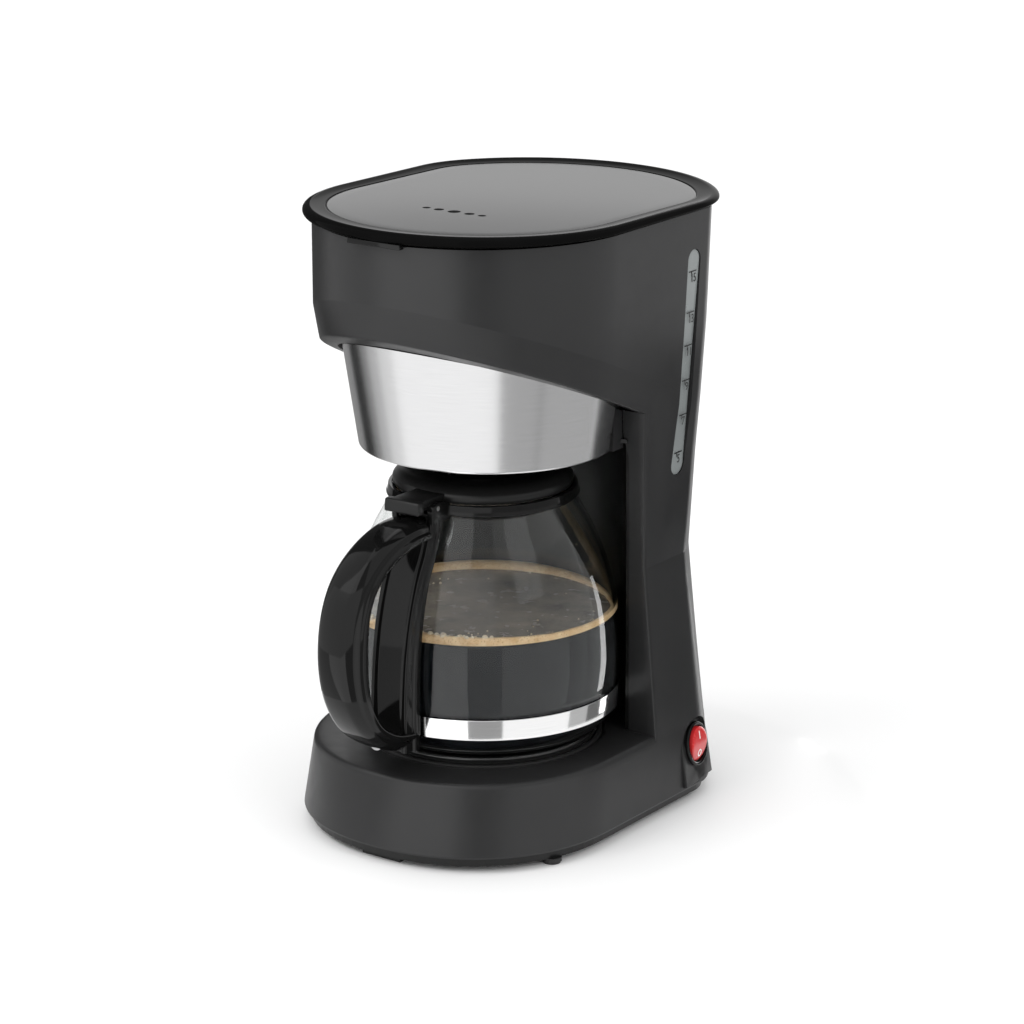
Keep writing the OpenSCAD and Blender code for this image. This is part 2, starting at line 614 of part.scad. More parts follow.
module thermostat() color([0.85, 0.82, 0.75]) translate([-8, carafe_y - 17, 0]) {
    translate([0, 0, 37]) cylinder(r = 7.5, h = 9.8, $fn = 48);
    translate([0, 0, 33]) cylinder(r = 5, h = 4.2, $fn = 48);
    for (s = [-1, 1]) translate([s * 6 - 0.4, -3, 29]) cube([0.8, 6, 9]);
}
module thermal_fuses() color([0.9, 0.9, 0.85]) for (x = [8, 16])
    along_y([x, carafe_y - 22, 43.2], 2.2, 14);

// ---- switch and wiring ---------------------------------------------------------------------------------
switch_cavity_r = 10;
module switch_body() color(matte_black) at_switch() difference() {
    union() {
        along_x([-1, 0, 0], bezel_r, 2.2);
        along_x([-18, 0, 0], 10.8, 18);
    }
    along_x([-9, 0, 0], switch_cavity_r, 20);
}
module switch_terminals() color([0.85, 0.70, 0.35]) at_switch()
    for (z = [-5, 0, 5]) translate([-26, -2.4, z - 0.4]) cube([7.8, 4.8, 0.8]);
module rocker() color([0.85, 0.15, 0.15]) at_switch() rotate([0, rocker_half_angle, 0]) {
    intersection() {
        along_x([-5, 0, 0], 9.2, 12);
        side_lens();
    }
    along_y([0, -9.6, 0], 1.2, 19.2);
}
// Rocker face: two flats that meet over the pivot
module side_lens() rotate([90, 0, 0]) linear_extrude(height = 40, center = true)
    polygon([[-3.4, -9.6], [-3.4, 9.6], [1.1, 9.6], [1.1, 9], [2.1, 4], [2.3, 0], [2.1, -4], [1.1, -9], [1.1, -9.6]]);

module terminal_block() color([0.92, 0.92, 0.88]) translate([-22, 104, base_z]) difference() {
    union() {
        cube([44, 14, 4]);
        for (i = [0:2]) translate([1 + i * 14.5, 1, 4 - eps]) cube([13, 12, 9]);
    }
    for (i = [0:2]) translate([7.5 + i * 14.5, 7, 6]) cylinder(r = 2.2, h = 20, $fn = 24);
}
wire_r = 1.4;
wire_routes = [
    [[57.2, 66, 26.6], [50, 66, 26], [44, 74, 20], [36, 88, 16], [26, 96, 16], [14.5, 103.4, 17]],
    [[56.8, 65.6, 21.6], [48, 62, 20], [38, 56, 19], [24, 50, 19], [13, 43, 22], [12.2, 36.8, 32], [12.2, 36.4, 42]],
    [[-14, -22.5, 28.6], [-16, -22, 24], [-30, -10, 18], [-42, 10, 16], [-44, 40, 16], [-34, 80, 16],
     [-14.5, 103.4, 17]],
    [[-2, -22.5, 28.6], [-1, -25, 25], [4, -30, 26], [8, -31.5, 34], [8, -30.8, 41], [8, -29.2, 43.2]],
    [[16, -29.2, 43.2], [16, -30.8, 41], [18, -31.5, 34], [24, -30, 26], [36, -10, 20], [40, 20, 16], [31, 58, 14],
     [12, 90, 14], [0, 103.4, 17]]];
module wire_harness() color([0.15, 0.25, 0.55]) for (route = wire_routes) tube(spline(route, 4), wire_r, 8);

// Grommet of the mains lead in the rear wall
module cord_gland() color(rubber) difference() {
    union() {
        along_y([0, 126, gland_z], 6.4, 6);
        along_y([0, 131.4, gland_z], 9, 2.2);
        along_y([0, 125, gland_z], 8, 1.9);
    }
    along_y([0, 110, gland_z], 3.6, 40);
}

// ---- carafe --------------------------------------------------------------------------------------------
carafe_z = plate_z + 0.35;
// Outer profile of the glass, as [radius, height above its foot]
glass_knots = [[50, 0], [57.5, 0.6], [63.2, 3.4], [67.2, 8], [69.4, 14], [70.3, 23.4], [71.2, 34], [71.2, 46], [69.6, 64],
               [66.4, 80], [61.8, 94], [55.6, 108], [49.8, 118.5], [47, 124], [46.4, 129]];
glass_profile = spline(glass_knots, 3);
module carafe_glass() color(clear) translate([0, carafe_y, carafe_z]) rotate_extrude($fn = 120)
    polygon(concat([[0, 0]], glass_profile, [for (i = [len(glass_profile) - 1:-1:0])
        [glass_profile[i][0] - (i < 4 ? glass_t + 3 - i * 0.75 : glass_t), max(glass_profile[i][1], glass_t)]],
        [[0, glass_t]]));
module carafe_band() color(bright) translate([0, carafe_y, 62.2]) ring(71.4, 70.55, 10.8);
collar_z = 171;
module carafe_collar() color(gloss_black) translate([0, carafe_y, 0]) difference() {
    union() {
        translate([0, 0, collar_z]) rotate_extrude($fn = 120)
            polygon([[46, 0], [50.2, 0], [50.6, 1.6], [49.4, 2.2], [48.6, 7.6], [46, 7.6]]);
        // hinge brackets on the handle side
        mirrored() translate([9.4, -61, collar_z]) cube([3.4, 14, 11]);
        translate([-12.8, -58, collar_z]) cube([25.6, 12, 5]);
    }
    translate([0, 0, carafe_z]) rotate_extrude($fn = 120)
        polygon(concat([[0, 100]], [for (p = glass_profile) if (p[1] > 100) [p[0] + 0.05, p[1]]], [[46.45, 160], [0, 160]]));
    along_x([-20, -56, carafe_hinge_z], 1.25, 40);
}
carafe_hinge_z = 179;
module carafe_hinge_pin() color(steel) along_x([-12.9, carafe_y - 56, carafe_hinge_z], 1.25, 25.8);

// Grip: outer and inner edge of the handle in the side view, as [y, z]
grip_outer = [[-67, 174.5], [-77, 174.6], [-88, 173], [-101, 168.8], [-112.8, 160.8], [-122.4, 151.2],
              [-129.6, 139.2], [-132.8, 125], [-132.4, 109.5], [-127.8, 93], [-118.6, 77.6], [-107, 66.4],
              [-92.6, 58.4], [-80, 56]];
grip_inner = [[-80, 65.5], [-90, 66.8], [-100, 70.5], [-109.5, 77.5], [-116, 88], [-119.2, 101], [-119.8, 115],
              [-119.2, 129], [-116.4, 141], [-110.5, 150], [-102, 156.5], [-92, 161], [-82, 163.6], [-67, 164.5]];
module handle_grip() color(gloss_black) {
    difference() {
        side_prism(concat(spline(grip_outer, 3), spline(grip_inner, 3)), handle_w);
        handle_screw_bore();
    }
    crown();
}
// Hole in the lower arm for the screw into the strap
module handle_screw_bore() {
    along_y([0, -115, handle_screw_z], 4.2, 20.2);
    along_y([0, -115, handle_screw_z], 2.1, 45);
}
handle_screw_z = 63;
// Slightly crowned outer face of the grip
module crown() side_prism(concat(spline([for (i = [4:10]) grip_outer[i] - [2.6, 0]], 3),
    [grip_outer[10] + [3, 0], grip_outer[4] + [3, 0]]), handle_w - 12);

// Strap: stands along the glass between the collar and the band
strap_outer = [[-88.4, 56], [-88.4, 76], [-87, 100], [-83.4, 122], [-77, 142], [-70, 156], [-66, 170.5], [-64, 176]];
strap_inner = [[-57, 176], [-57.4, 170], [-62, 156], [-69, 142], [-74.3, 122], [-76.9, 100], [-77.6, 80], [-77.6, 56]];
module handle_strap() color(gloss_black) difference() {
    side_prism(concat(spline(strap_outer, 3), spline(strap_inner, 3)), handle_w);
    side_prism(concat(spline(grip_outer, 3), spline(grip_inner, 3)), handle_w + 2);
    translate([0, carafe_y, carafe_z]) rotate_extrude($fn = 120)
        polygon(concat([[0, 0]], [for (p = glass_profile) [p[0] + 0.25, p[1]]], [[0, 129]]));
    translate([0, carafe_y, 60]) cylinder(r = 71.5, h = 16, $fn = 120);
    translate([0, carafe_y, collar_z - 0.1]) cylinder(r = 50.8, h = 20, $fn = 120);
    translate([-20, carafe_y - 61.1, collar_z - 0.1]) cube([40, 40, 20]);
    handle_screw_bore();
}
module handle_screws() color(steel) {
    along_y([0, -98.2, handle_screw_z], 4, 3.2);
    along_y([0, -95.1, handle_screw_z], 2, 15);
}

carafe_lid_r = 45;
lid_seat_z = 178.9;
module carafe_lid() color(matte_black) difference() {
    union() {
        translate([0, carafe_y, 0]) rotate_extrude($fn = 120)
            polygon([[0, lid_seat_z + 1], [25, lid_seat_z + 1], [25, lid_seat_z], [carafe_lid_r + 1.5, lid_seat_z],
                     [carafe_lid_r + 2, lid_seat_z + 4], [carafe_lid_r - 3, 187.6], [30, 188.2], [27, 187.6],
                     [24, lid_seat_z + 3.4], [0, lid_seat_z + 3.4]]);
        translate([-9, carafe_y - 66, lid_seat_z + 0.6]) cube([18, 26, 4.2]);
        along_x([-9, carafe_y - 56, carafe_hinge_z], 2.6, 18);
        translate([-12.5, carafe_y - 70.5, lid_seat_z - 1.6]) cube([25, 6.5, 7]);
    }
    along_x([-20, carafe_y - 56, carafe_hinge_z], 1.6, 40);
    for (a = [0:45:315]) translate([0, carafe_y, lid_seat_z - 1]) rotate(a) translate([16, 0, 0]) cylinder(r = 1.6, h = 9, $fn = 24);
    translate([0, carafe_y, lid_seat_z - 1]) cylinder(r = 3, h = 9, $fn = 32);
}

base_housing();
bottom_plate();
rubber_feet();
bottom_screws();
upper_housing();
housing_screws();
column_cover();
water_tank();
level_window();
level_marks();
brew_funnel();
steel_band();
water_spout();
riser_hose();
cold_water_hose();
check_valve();
hose_clamps();
warming_plate();
plate_seal();
heating_element();
element_clamp();
thermostat();
thermal_fuses();
switch_body();
switch_terminals();
terminal_block();
wire_harness();
cord_gland();
hinge_pin();
filter_basket();
mesh_filter();
drip_valve();
drip_spring();
valve_seal();
lid();
lid_panel();
lid_liner();
rocker();
carafe_glass();
carafe_band();
carafe_collar();
handle_grip();
handle_strap();
handle_screws();
carafe_hinge_pin();
carafe_lid();
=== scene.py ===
import random
from math import asin, atan2, cos, degrees, pi, radians, sin, sqrt, tan

import bmesh
import bpy
from mathutils import Matrix, Vector


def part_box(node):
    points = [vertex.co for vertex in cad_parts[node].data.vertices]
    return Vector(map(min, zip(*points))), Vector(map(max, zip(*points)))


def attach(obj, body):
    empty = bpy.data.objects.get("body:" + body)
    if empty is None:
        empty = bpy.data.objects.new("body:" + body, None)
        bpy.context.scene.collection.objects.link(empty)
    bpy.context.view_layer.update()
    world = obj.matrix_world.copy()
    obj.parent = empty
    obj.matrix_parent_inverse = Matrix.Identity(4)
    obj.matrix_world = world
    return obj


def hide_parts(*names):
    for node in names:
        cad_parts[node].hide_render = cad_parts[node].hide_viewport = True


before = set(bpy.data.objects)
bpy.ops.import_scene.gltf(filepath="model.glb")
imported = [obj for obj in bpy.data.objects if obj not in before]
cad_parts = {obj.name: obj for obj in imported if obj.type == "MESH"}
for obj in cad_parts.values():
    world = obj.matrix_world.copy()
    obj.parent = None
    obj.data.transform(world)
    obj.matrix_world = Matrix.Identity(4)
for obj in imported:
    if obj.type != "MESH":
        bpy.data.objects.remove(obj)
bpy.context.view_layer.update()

# The looks of a drip coffee maker, built round its CAD frame. Lengths are in millimetres until a mesh is made.
# X is the width, -Y the front (the carafe side) and Z is up.
MM = 0.001


def node_box(node):
    """Lowest and highest corner of a CAD node, in millimetres."""
    low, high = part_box(node)
    return low / MM, high / MM


# ---- the design's dimensions ----
WALL = 2.5
WAIST_Z = node_box("upper_housing")[0].z
RIM_Z = node_box("upper_housing")[1].z
FOOT_Z = 8
SHOULDER_Z = 42
DECK_Z = 45
LID_Z = RIM_Z + 1.5
LID_TOP = node_box("lid")[1].z
CARAFE_Y = (node_box("carafe_glass")[0].y + node_box("carafe_glass")[1].y) / 2
CARAFE_Z = node_box("carafe_glass")[0].z
FUNNEL_Y = -1
SOFFIT_Z = 220
SOFFIT_SLOPE = 0.42
BAND_Z = node_box("steel_band")[0].z
BAND_R = 65.5
BAND_TAPER = 0.149
BAND_ANGLE = 204
RECESS_R = 76
CHEEK_X = 66.8
RECESS_TOP = BAND_Z + 3.4
PLATE_R = 59.5
PLATE_Z = node_box("warming_plate")[1].z
GLASS_T = 2.2
COFFEE_Z = 113
HANDLE_W = 26
SWITCH_AT = Vector((83.6, 71, 30))
SWITCH_YAW = 8
SWITCH_TILT = 9
ROCKER_HALF_ANGLE = 8
HINGE_Y = 132.2
HINGE_Z = 313.5

# Outlines as [z, half width, front, back, corner_y, corner_r, squareness]: a round front of the given half width,
# straight sides, corners round (half width - corner_r, corner_y), and a bowed back.
BASE_LEVELS = [[FOOT_Z, 86, -101.8, 134, 71, 30, 2.15], [SHOULDER_Z, 83.2, -94.6, 128.2, 71, 26, 2.15]]
DECK_LEVEL = [DECK_Z, 80.2, -91.6, 125.4, 71, 24, 2.15]
WAIST_LEVEL = [WAIST_Z, 77.5, -85, 120.6, 64, 10, 2]
COLUMN_LEVELS = [[43, 83.1, -94, 128, 71, 25, 2.15], WAIST_LEVEL]
UPPER_LEVELS = [WAIST_LEVEL, [190, 81.2, -89.5, 121.5, 64.8, 9, 2],
                [SOFFIT_Z, 83.7, -92, 123, 65.5, 8, 2], [260, 84.3, -92.3, 126.5, 69.5, 8, 2],
                [RIM_Z, 84.5, -92.2, 129, 73, 8, 2]]
LID_LEVEL = [0, 89.3, -96.8, 134.8, 60, 55, 2]
# Front face of the column, as [y, z]
COLUMN_FACE = [[22.7, SOFFIT_Z], [28, WAIST_Z], [32, DECK_Z]]
BEVEL_INSET = 3.1
BEVEL_H = 18.5


# ---- outlines ----
def mix(a, b, t):
    return a + (b - a) * t


def bend(a, b, c, t):
    """A point of the curve from a to c that b pulls towards itself."""
    return a * (1 - t) ** 2 + b * 2 * t * (1 - t) + c * t * t


def level_at(levels, z):
    """The outline at height z, straight between the levels above and below it."""
    for low, high in zip(levels, levels[1:]):
        if z <= high[0] or high is levels[-1]:
            t = min(max((z - low[0]) / (high[0] - low[0]), 0), 1)
            return [mix(a, b, t) for a, b in zip(low, high)]


def face_y(z):
    for (y1, z1), (y0, z0) in zip(COLUMN_FACE, COLUMN_FACE[1:]):
        if z >= z0:
            return mix(y0, y1, min((z - z0) / (z1 - z0), 1))
    return COLUMN_FACE[-1][0]


# Points along half an outline, as (stretch, share of it), from the middle of the front to that of the back
STRETCHES = [("front", 48), ("before", 6), ("behind", 14), ("corner", 12), ("back", 20)]
HALF = [(name, k / steps) for name, steps in STRETCHES for k in range(steps)] + [("back", 1)]
FACE_COLUMN = STRETCHES[0][1] + STRETCHES[1][1]


def outline_point(level, place, inset=0.0):
    """A point of the right half of an outline, moved inwards by an inset."""
    z, half, front, back, corner_y, corner_r, square = level
    half, front, back = half - inset, front + inset, back - inset
    corner_r = max(corner_r - inset, 2)
    name, t = place
    if name == "front":
        a = radians(90 * t)
        return (half * sin(a) ** (2 / square), front + half - half * cos(a) ** (2 / square))
    if name == "before":
        return half, mix(front + half, face_y(z), t)
    if name == "behind":
        return half, mix(face_y(z), corner_y, t)
    cx, depth = half - corner_r, back - corner_y
    r = (cx * cx + depth * depth - corner_r * corner_r) / (2 * (depth - corner_r))
    turn = atan2(corner_y - back + r, cx)
    if name == "corner":
        return cx + corner_r * cos(turn * t), corner_y + corner_r * sin(turn * t)
    a = mix(turn, pi / 2, t)
    return r * cos(a), back - r + r * sin(a)


def mirrored(points):
    """The same points on the other side of the middle plane."""
    return [(-p[0],) + tuple(p[1:]) for p in points]


def whole(half):
    """A closed ring from its right half, which starts and ends on the middle plane."""
    return half + mirrored(half[-2:0:-1])


def both_sides(half):
    """An open row from its right half, which starts on the middle plane."""
    return mirrored(half[:0:-1]) + half


def symmetric(right, middle=()):
    """The corners of a closed outline from those on its right and those in the middle of its top."""
    return mirrored(right[:1]) + right + list(middle) + mirrored(right[:0:-1])


def circle(radius, steps, x=0.0, y=0.0):
    turns = [2 * pi * i / steps for i in range(steps)]
    return [(x + radius * cos(a), y + radius * sin(a)) for a in turns]


def part_ring(level, places, z, inset=0.0):
    """Part of an outline at one height."""
    return [outline_point(level, p, inset) + (z,) for p in places]


# ---- meshes ----
ROUND_STEPS = 144          # stretches round every turned piece


def loft(rings, closed=True, caps=False, wrap=False):
    """Quads between rings of equally many points, as (vertices, faces)."""
    n, count = len(rings[0]), len(rings)
    faces = []
    for k in range(count if wrap else count - 1):
        low, high = k * n, (k + 1) % count * n
        for i in range(n if closed else n - 1):
            j = (i + 1) % n
            faces.append((low + i, low + j, high + j, high + i))
    if caps:
        faces.append(tuple(range(n))[::-1])
        faces.append(tuple((count - 1) * n + i for i in range(n)))
    return [tuple(p) for ring in rings for p in ring], faces


def merge(*parts):
    """Several (vertices, faces) in one."""
    verts, faces = [], []
    for part_verts, part_faces in parts:
        start = len(verts)
        verts += part_verts
        faces += [tuple(start + i for i in face) for face in part_faces]
    return verts, faces


def moved(part, matrix):
    return [tuple(matrix @ Vector(v)) for v in part[0]], part[1]


def rounded(corners, closed=True, steps=4):
    """An outline through corners (a, b, fillet), each fillet drawn as a curve."""
    out = []
    n = len(corners)
    for i, (a, b, fillet) in enumerate(corners):
        here = Vector((a, b))
        if fillet <= 0 or (not closed and i in (0, n - 1)):
            out.append((a, b))
            continue
        before, after = Vector(corners[i - 1][:2]), Vector(corners[(i + 1) % n][:2])
        cut = min(fillet, (before - here).length * 0.49, (after - here).length * 0.49)
        start = here + (before - here).normalized() * cut
        end = here + (after - here).normalized() * cut
        for k in range(steps + 1):
            t = k / steps
            out.append(tuple(bend(start, here, end, t)))
    return out


def spline(points, steps):
    """Catmull-Rom curve through points."""
    out = []
    pts = [Vector(p) for p in points]
    last = len(pts) - 1
    for i in range(last):
        p0, p1, p2, p3 = pts[max(i - 1, 0)], pts[i], pts[i + 1], pts[min(i + 2, last)]
        for k in range(steps):
            t = k / steps
            out.append(0.5 * (2 * p1 + (p2 - p0) * t + (2 * p0 - 5 * p1 + 4 * p2 - p3) * t * t
                              + (3 * p1 - p0 - 3 * p2 + p3) * t ** 3))
    return out + [pts[last]]


def revolve(profile, y, closed=True, start=0.0, sweep=360.0):
    """A profile of (radius, z) turned round the vertical axis through (0, y)."""
    full = sweep >= 360
    count = ROUND_STEPS if full else ROUND_STEPS + 1
    angles = [radians(start + sweep * i / ROUND_STEPS) for i in range(count)]
    rings = [[(r * cos(a), y + r * sin(a), z) for a in angles] for r, z in profile]
    verts, faces = loft(rings, closed=full, wrap=closed)
    if not full:
        for end in (0, count - 1):
            faces.append(tuple(k * count + end for k in range(len(profile))))
    return verts, faces


def rod(x, y, radius, low, high, steps):
    """An upright round rod."""
    return loft([[(a, b, z) for a, b in circle(radius, steps, x, y)] for z in (low, high)], caps=True)


def prism(outline, x0, x1):
    """An outline in the side view (y, z) with thickness along X."""
    return loft([[(x, y, z) for y, z in outline] for x in (x0, x1)], caps=True)


def new_object(name, data):
    obj = bpy.data.objects.new(name, data)
    bpy.context.scene.collection.objects.link(obj)
    return obj


def make_object(name, part):
    mesh = bpy.data.meshes.new(name)
    mesh.from_pydata([[c * MM for c in v] for v in part[0]], [], part[1])
    obj = new_object(name, mesh)
    edit_mesh(obj, lambda bm: None)
    return obj


def edit_mesh(obj, change):
    """Welds the mesh, applies a change to it and turns its faces outwards."""
    bm = bmesh.new()
    bm.from_mesh(obj.data)
    bmesh.ops.remove_doubles(bm, verts=bm.verts, dist=2e-6)
    bmesh.ops.dissolve_degenerate(bm, edges=bm.edges, dist=1e-7)
    change(bm)
    bmesh.ops.recalc_face_normals(bm, faces=bm.faces)
    bm.to_mesh(obj.data)
    bm.free()


def evaluated_mesh(obj):
    bpy.context.view_layer.update()
    return bpy.data.meshes.new_from_object(obj.evaluated_get(bpy.context.evaluated_depsgraph_get()))


def apply_modifiers(obj):
    mesh = evaluated_mesh(obj)
    obj.modifiers.clear()
    obj.data = mesh


def thicken(obj, thickness):
    """Gives a sheet a wall, on its inner side."""
    solid = obj.modifiers.new("wall", "SOLIDIFY")
    solid.thickness = thickness * MM
    solid.offset = -1
    solid.use_even_offset = True
    apply_modifiers(obj)


def cut(obj, part):
    """Takes a solid away from an object."""
    tool = make_object("cutter", part)
    boolean = obj.modifiers.new("cut", "BOOLEAN")
    boolean.operation = "DIFFERENCE"
    boolean.solver = "EXACT"
    boolean.object = tool
    apply_modifiers(obj)
    bpy.data.objects.remove(tool)


def bevel_edges(obj, width, angle=35):
    """Rounds every edge sharper than an angle."""
    def change(bm):
        sharp = [e for e in bm.edges if len(e.link_faces) == 2 and e.calc_face_angle(0) > radians(angle)]
        bmesh.ops.bevel(bm, geom=sharp, offset=width * MM, segments=3, profile=0.5, affect="EDGES",
                        clamp_overlap=True)
    edit_mesh(obj, change)


def paint(obj, material):
    obj.data.materials.clear()
    obj.data.materials.append(MATERIALS[material])


def add_piece(obj, body, slot, replaces=(), sharp=32, material=None, creases=None):
    """Shades a piece, gives it a material and puts it on its body. creases(point) is true on crisp edges."""
    obj.data.shade_smooth()
    obj.data.set_sharp_from_angle(angle=radians(sharp))
    if creases:
        on_crease = [creases(v.co / MM) for v in obj.data.vertices]
        sharp_edges = obj.data.attributes["sharp_edge"].data
        for edge in obj.data.edges:
            if on_crease[edge.vertices[0]] and on_crease[edge.vertices[1]]:
                sharp_edges[edge.index].value = True
    paint(obj, material or slot)
    if replaces:
        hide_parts(*replaces)
    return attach(obj, body)


def piece(name, part, body, slot, **options):
    return add_piece(make_object(name, part), body, slot, **options)


def bevelled(name, part, body, slot, width):
    """A piece with all its sharp edges rounded."""
    obj = make_object(name, part)
    bevel_edges(obj, width)
    add_piece(obj, body, slot)


def bevelled_pair(name, part, body, slot, width):
    """The same piece on the left and on the right."""
    for side, ending in ((-1, "_left"), (1, "_right")):
        bevelled(name + ending, moved(part, Matrix.Diagonal((side, 1, 1, 1))), body, slot, width)


# ---- materials ----
MATERIALS = {}


class Surface:
    """A node material under construction: texture coordinates in metres, moving with the object."""

    def __init__(self, name, **sockets):
        MATERIALS[name] = bpy.data.materials.new(name)
        MATERIALS[name].use_nodes = True
        self.tree = MATERIALS[name].node_tree
        self.shader = self.tree.nodes["Principled BSDF"]
        self.place = self.node("TexCoord").outputs["Object"]
        for socket, value in sockets.items():
            self.shader.inputs[socket.replace("_", " ")].default_value = value

    def node(self, kind, **inputs):
        made = self.tree.nodes.new("ShaderNode" + kind)
        for name, value in inputs.items():
            self.join(value, made.inputs[name.replace("_", " ")])
        return made

    def join(self, value, socket):
        if isinstance(value, bpy.types.NodeSocket):
            self.tree.links.new(value, socket)
        else:
            socket.default_value = value

    def math(self, operation, *values):
        made = self.node("Math")
        made.operation = operation
        for value, socket in zip(values, made.inputs):
            self.join(value, socket)
        return made.outputs[0]

    def noise(self, scale, detail=3.0, roughness=0.55, place=None):
        return self.node("TexNoise", Vector=place or self.place, Scale=scale, Detail=detail,
                         Roughness=roughness).outputs["Fac"]

    def remap(self, value, low, high, from_low=0.3, from_high=0.7):
        return self.node("MapRange", Value=value, From_Min=from_low, From_Max=from_high, To_Min=low,
                         To_Max=high).outputs[0]

    def blend(self, factor, low, high):
        made = self.node("Mix")
        made.data_type = "RGBA"
        self.join(factor, made.inputs[0])
        self.join(low, made.inputs[6])
        self.join(high, made.inputs[7])
        return made.outputs[2]

    def colour(self, factor, low, high):
        self.join(self.blend(factor, low, high), self.shader.inputs["Base Color"])

    def drift(self, noise, low, high):
        """Lets the colour wander between two."""
        self.colour(self.remap(noise, 0, 1), low, high)

    def roughness(self, noise, low, high):
        self.join(self.remap(noise, low, high), self.shader.inputs["Roughness"])

    def bump(self, height, depth, strength=1.0):
        made = self.node("Bump", Height=height, Strength=strength, Distance=depth)
        self.join(made.outputs[0], self.shader.inputs["Normal"])


def grey(value):
    return value, value, value


def shade(colour, factor):
    return tuple(min(c * factor, 1) for c in colour) + (1,)


def plastic(name, colour, rough, grain=0.00002, grain_scale=1800, mottle=0.10, wear=0.1, **sockets):
    """Moulded plastic: faint colour drift, uneven polish and the fine grain of the mould."""
    s = Surface(name, **sockets)
    s.drift(s.noise(22), shade(colour, 1 - mottle), shade(colour, 1 + mottle))
    s.roughness(s.noise(90, 4), rough * (1 - wear), rough * (1 + wear))
    s.bump(s.noise(grain_scale, 2), grain)


def brushed(name, colour, rough, round_axis=True, streaks=5200, **sockets):
    """Brushed metal whose streaks run round the vertical axis, or along X."""
    s = Surface(name, Metallic=1.0, **sockets)
    x, y, z = s.node("SeparateXYZ", Vector=s.place).outputs
    along, stretch = (s.math("ARCTAN2", x, y), 3.0) if round_axis else (x, 40.0)
    place = s.node("CombineXYZ", X=s.math("MULTIPLY", along, stretch),
                   Y=s.math("MULTIPLY", z, streaks)).outputs[0]
    streak = s.noise(1.0, 4, 0.7, place)
    s.drift(streak, shade(colour, 0.93), shade(colour, 1.04))
    s.roughness(streak, rough * 0.8, rough * 1.2)
    s.bump(streak, 0.000004, 0.4)
    if round_axis:
        tangent = s.node("Tangent")
        tangent.direction_type, tangent.axis = "RADIAL", "Z"
        s.join(tangent.outputs[0], s.shader.inputs["Tangent"])


def clear_glass(name):
    """Clear glass with the faint waviness of a blown wall."""
    s = Surface(name, Base_Color=(0.96, 0.975, 0.97, 1), Transmission_Weight=1.0, IOR=1.36, Roughness=0.0)
    s.bump(s.noise(26, 1), 0.00002, 0.35)


def coffee_body():
    """Black coffee seen through the glass."""
    s = Surface("coffee", Specular_IOR_Level=0.02)
    s.drift(s.noise(40), (0.0055, 0.0066, 0.0085, 1), (0.008, 0.0095, 0.0118, 1))
    s.roughness(s.noise(30), 0.05, 0.10)


def coffee_surface():
    """The skin of the coffee: a crema film with tiny bubbles, its grey-brown base colour partly a painted sheen of
    reflected light.
    """
    s = Surface("coffee_surface", IOR=1.4)
    cells = s.node("TexVoronoi", Vector=s.place, Scale=520.0).outputs["Distance"]
    specks = s.remap(cells, 1, 0, 0.05, 0.3)
    # Base colour of the skin: crema tone lightened to grey-brown by a painted sheen of reflected light.
    crema_and_painted_sheen = s.blend(s.remap(s.noise(55, 6, 0.65), 0, 1), (0.11, 0.10, 0.09, 1), (0.29, 0.25, 0.21, 1))
    patches = s.math("MULTIPLY", specks, s.remap(s.noise(48, 3), 0, 1, 0.5, 0.62))
    s.colour(patches, crema_and_painted_sheen, (0.04, 0.022, 0.012, 1))
    s.roughness(s.noise(140, 3), 0.12, 0.3)
    s.bump(cells, 0.0001, 0.5)


def foam():
    """Tan froth of many fine bubbles."""
    s = Surface("foam")
    cells = s.node("TexVoronoi", Vector=s.place, Scale=900.0).outputs["Distance"]
    tone = s.blend(s.remap(s.noise(160, 4), 0, 1), (0.66, 0.42, 0.20, 1), (0.86, 0.66, 0.40, 1))
    s.colour(s.remap(cells, 1, 0, 0.05, 0.35), tone, (0.46, 0.26, 0.11, 1))
    s.roughness(s.noise(300), 0.3, 0.5)
    s.bump(cells, 0.0003, 0.8)


def bubble_film():
    """Thin shiny skin of the larger bubbles."""
    s = Surface("bubble_film", IOR=1.33)
    s.drift(s.noise(400), (0.50, 0.40, 0.28, 1), (0.80, 0.70, 0.55, 1))
    s.roughness(s.noise(200), 0.03, 0.08)


def filter_mesh(name):
    """Gold-toned wire cloth."""
    s = Surface(name, Metallic=1.0)
    x, y, z = s.node("SeparateXYZ", Vector=s.place).outputs
    turn = s.math("SINE", s.math("MULTIPLY", s.math("ARCTAN2", x, y), 220.0))
    rise = s.math("SINE", s.math("MULTIPLY", z, 5200.0))
    weave = s.math("MULTIPLY", turn, rise)
    s.colour(s.remap(weave, 0, 1, -1, 1), (0.30, 0.20, 0.07, 1), (0.80, 0.60, 0.26, 1))
    s.roughness(s.noise(200), 0.28, 0.42)
    s.bump(weave, 0.00008, 0.7)


plastic("charcoal_plastic", (0.0175, 0.0175, 0.018), 0.36, grain=0.00001, mottle=0.06, Specular_IOR_Level=0.34)
plastic("gloss_black", grey(0.004), 0.08, grain=0.000002, grain_scale=300, Specular_IOR_Level=0.26)
plastic("matte_black", grey(0.008), 0.34, grain=0.000008, Specular_IOR_Level=0.3)
plastic("lid_panel", (0.034, 0.034, 0.0345), 0.17, grain=0.0000005, mottle=0.015, wear=0.015,
        Specular_IOR_Level=0.2)
plastic("tank_plastic", (0.62, 0.66, 0.66), 0.35, Transmission_Weight=0.35)
plastic("level_window", (0.19, 0.205, 0.205), 0.30, grain=0.000005)
plastic("print_black", grey(0.006), 0.5)
brushed("brushed_steel", (0.74, 0.74, 0.745), 0.17, Anisotropic=0.75)
brushed("bright_steel", grey(0.88), 0.09, Anisotropic=0.3)
brushed("screw_steel", grey(0.55), 0.3, round_axis=False)
plastic("plate_enamel", grey(0.010), 0.16, Coat_Weight=0.4)
brushed("element_alu", (0.72, 0.72, 0.73), 0.35, round_axis=False, streaks=900)
clear_glass("carafe_glass")
plastic("silicone", (0.68, 0.68, 0.62), 0.45)
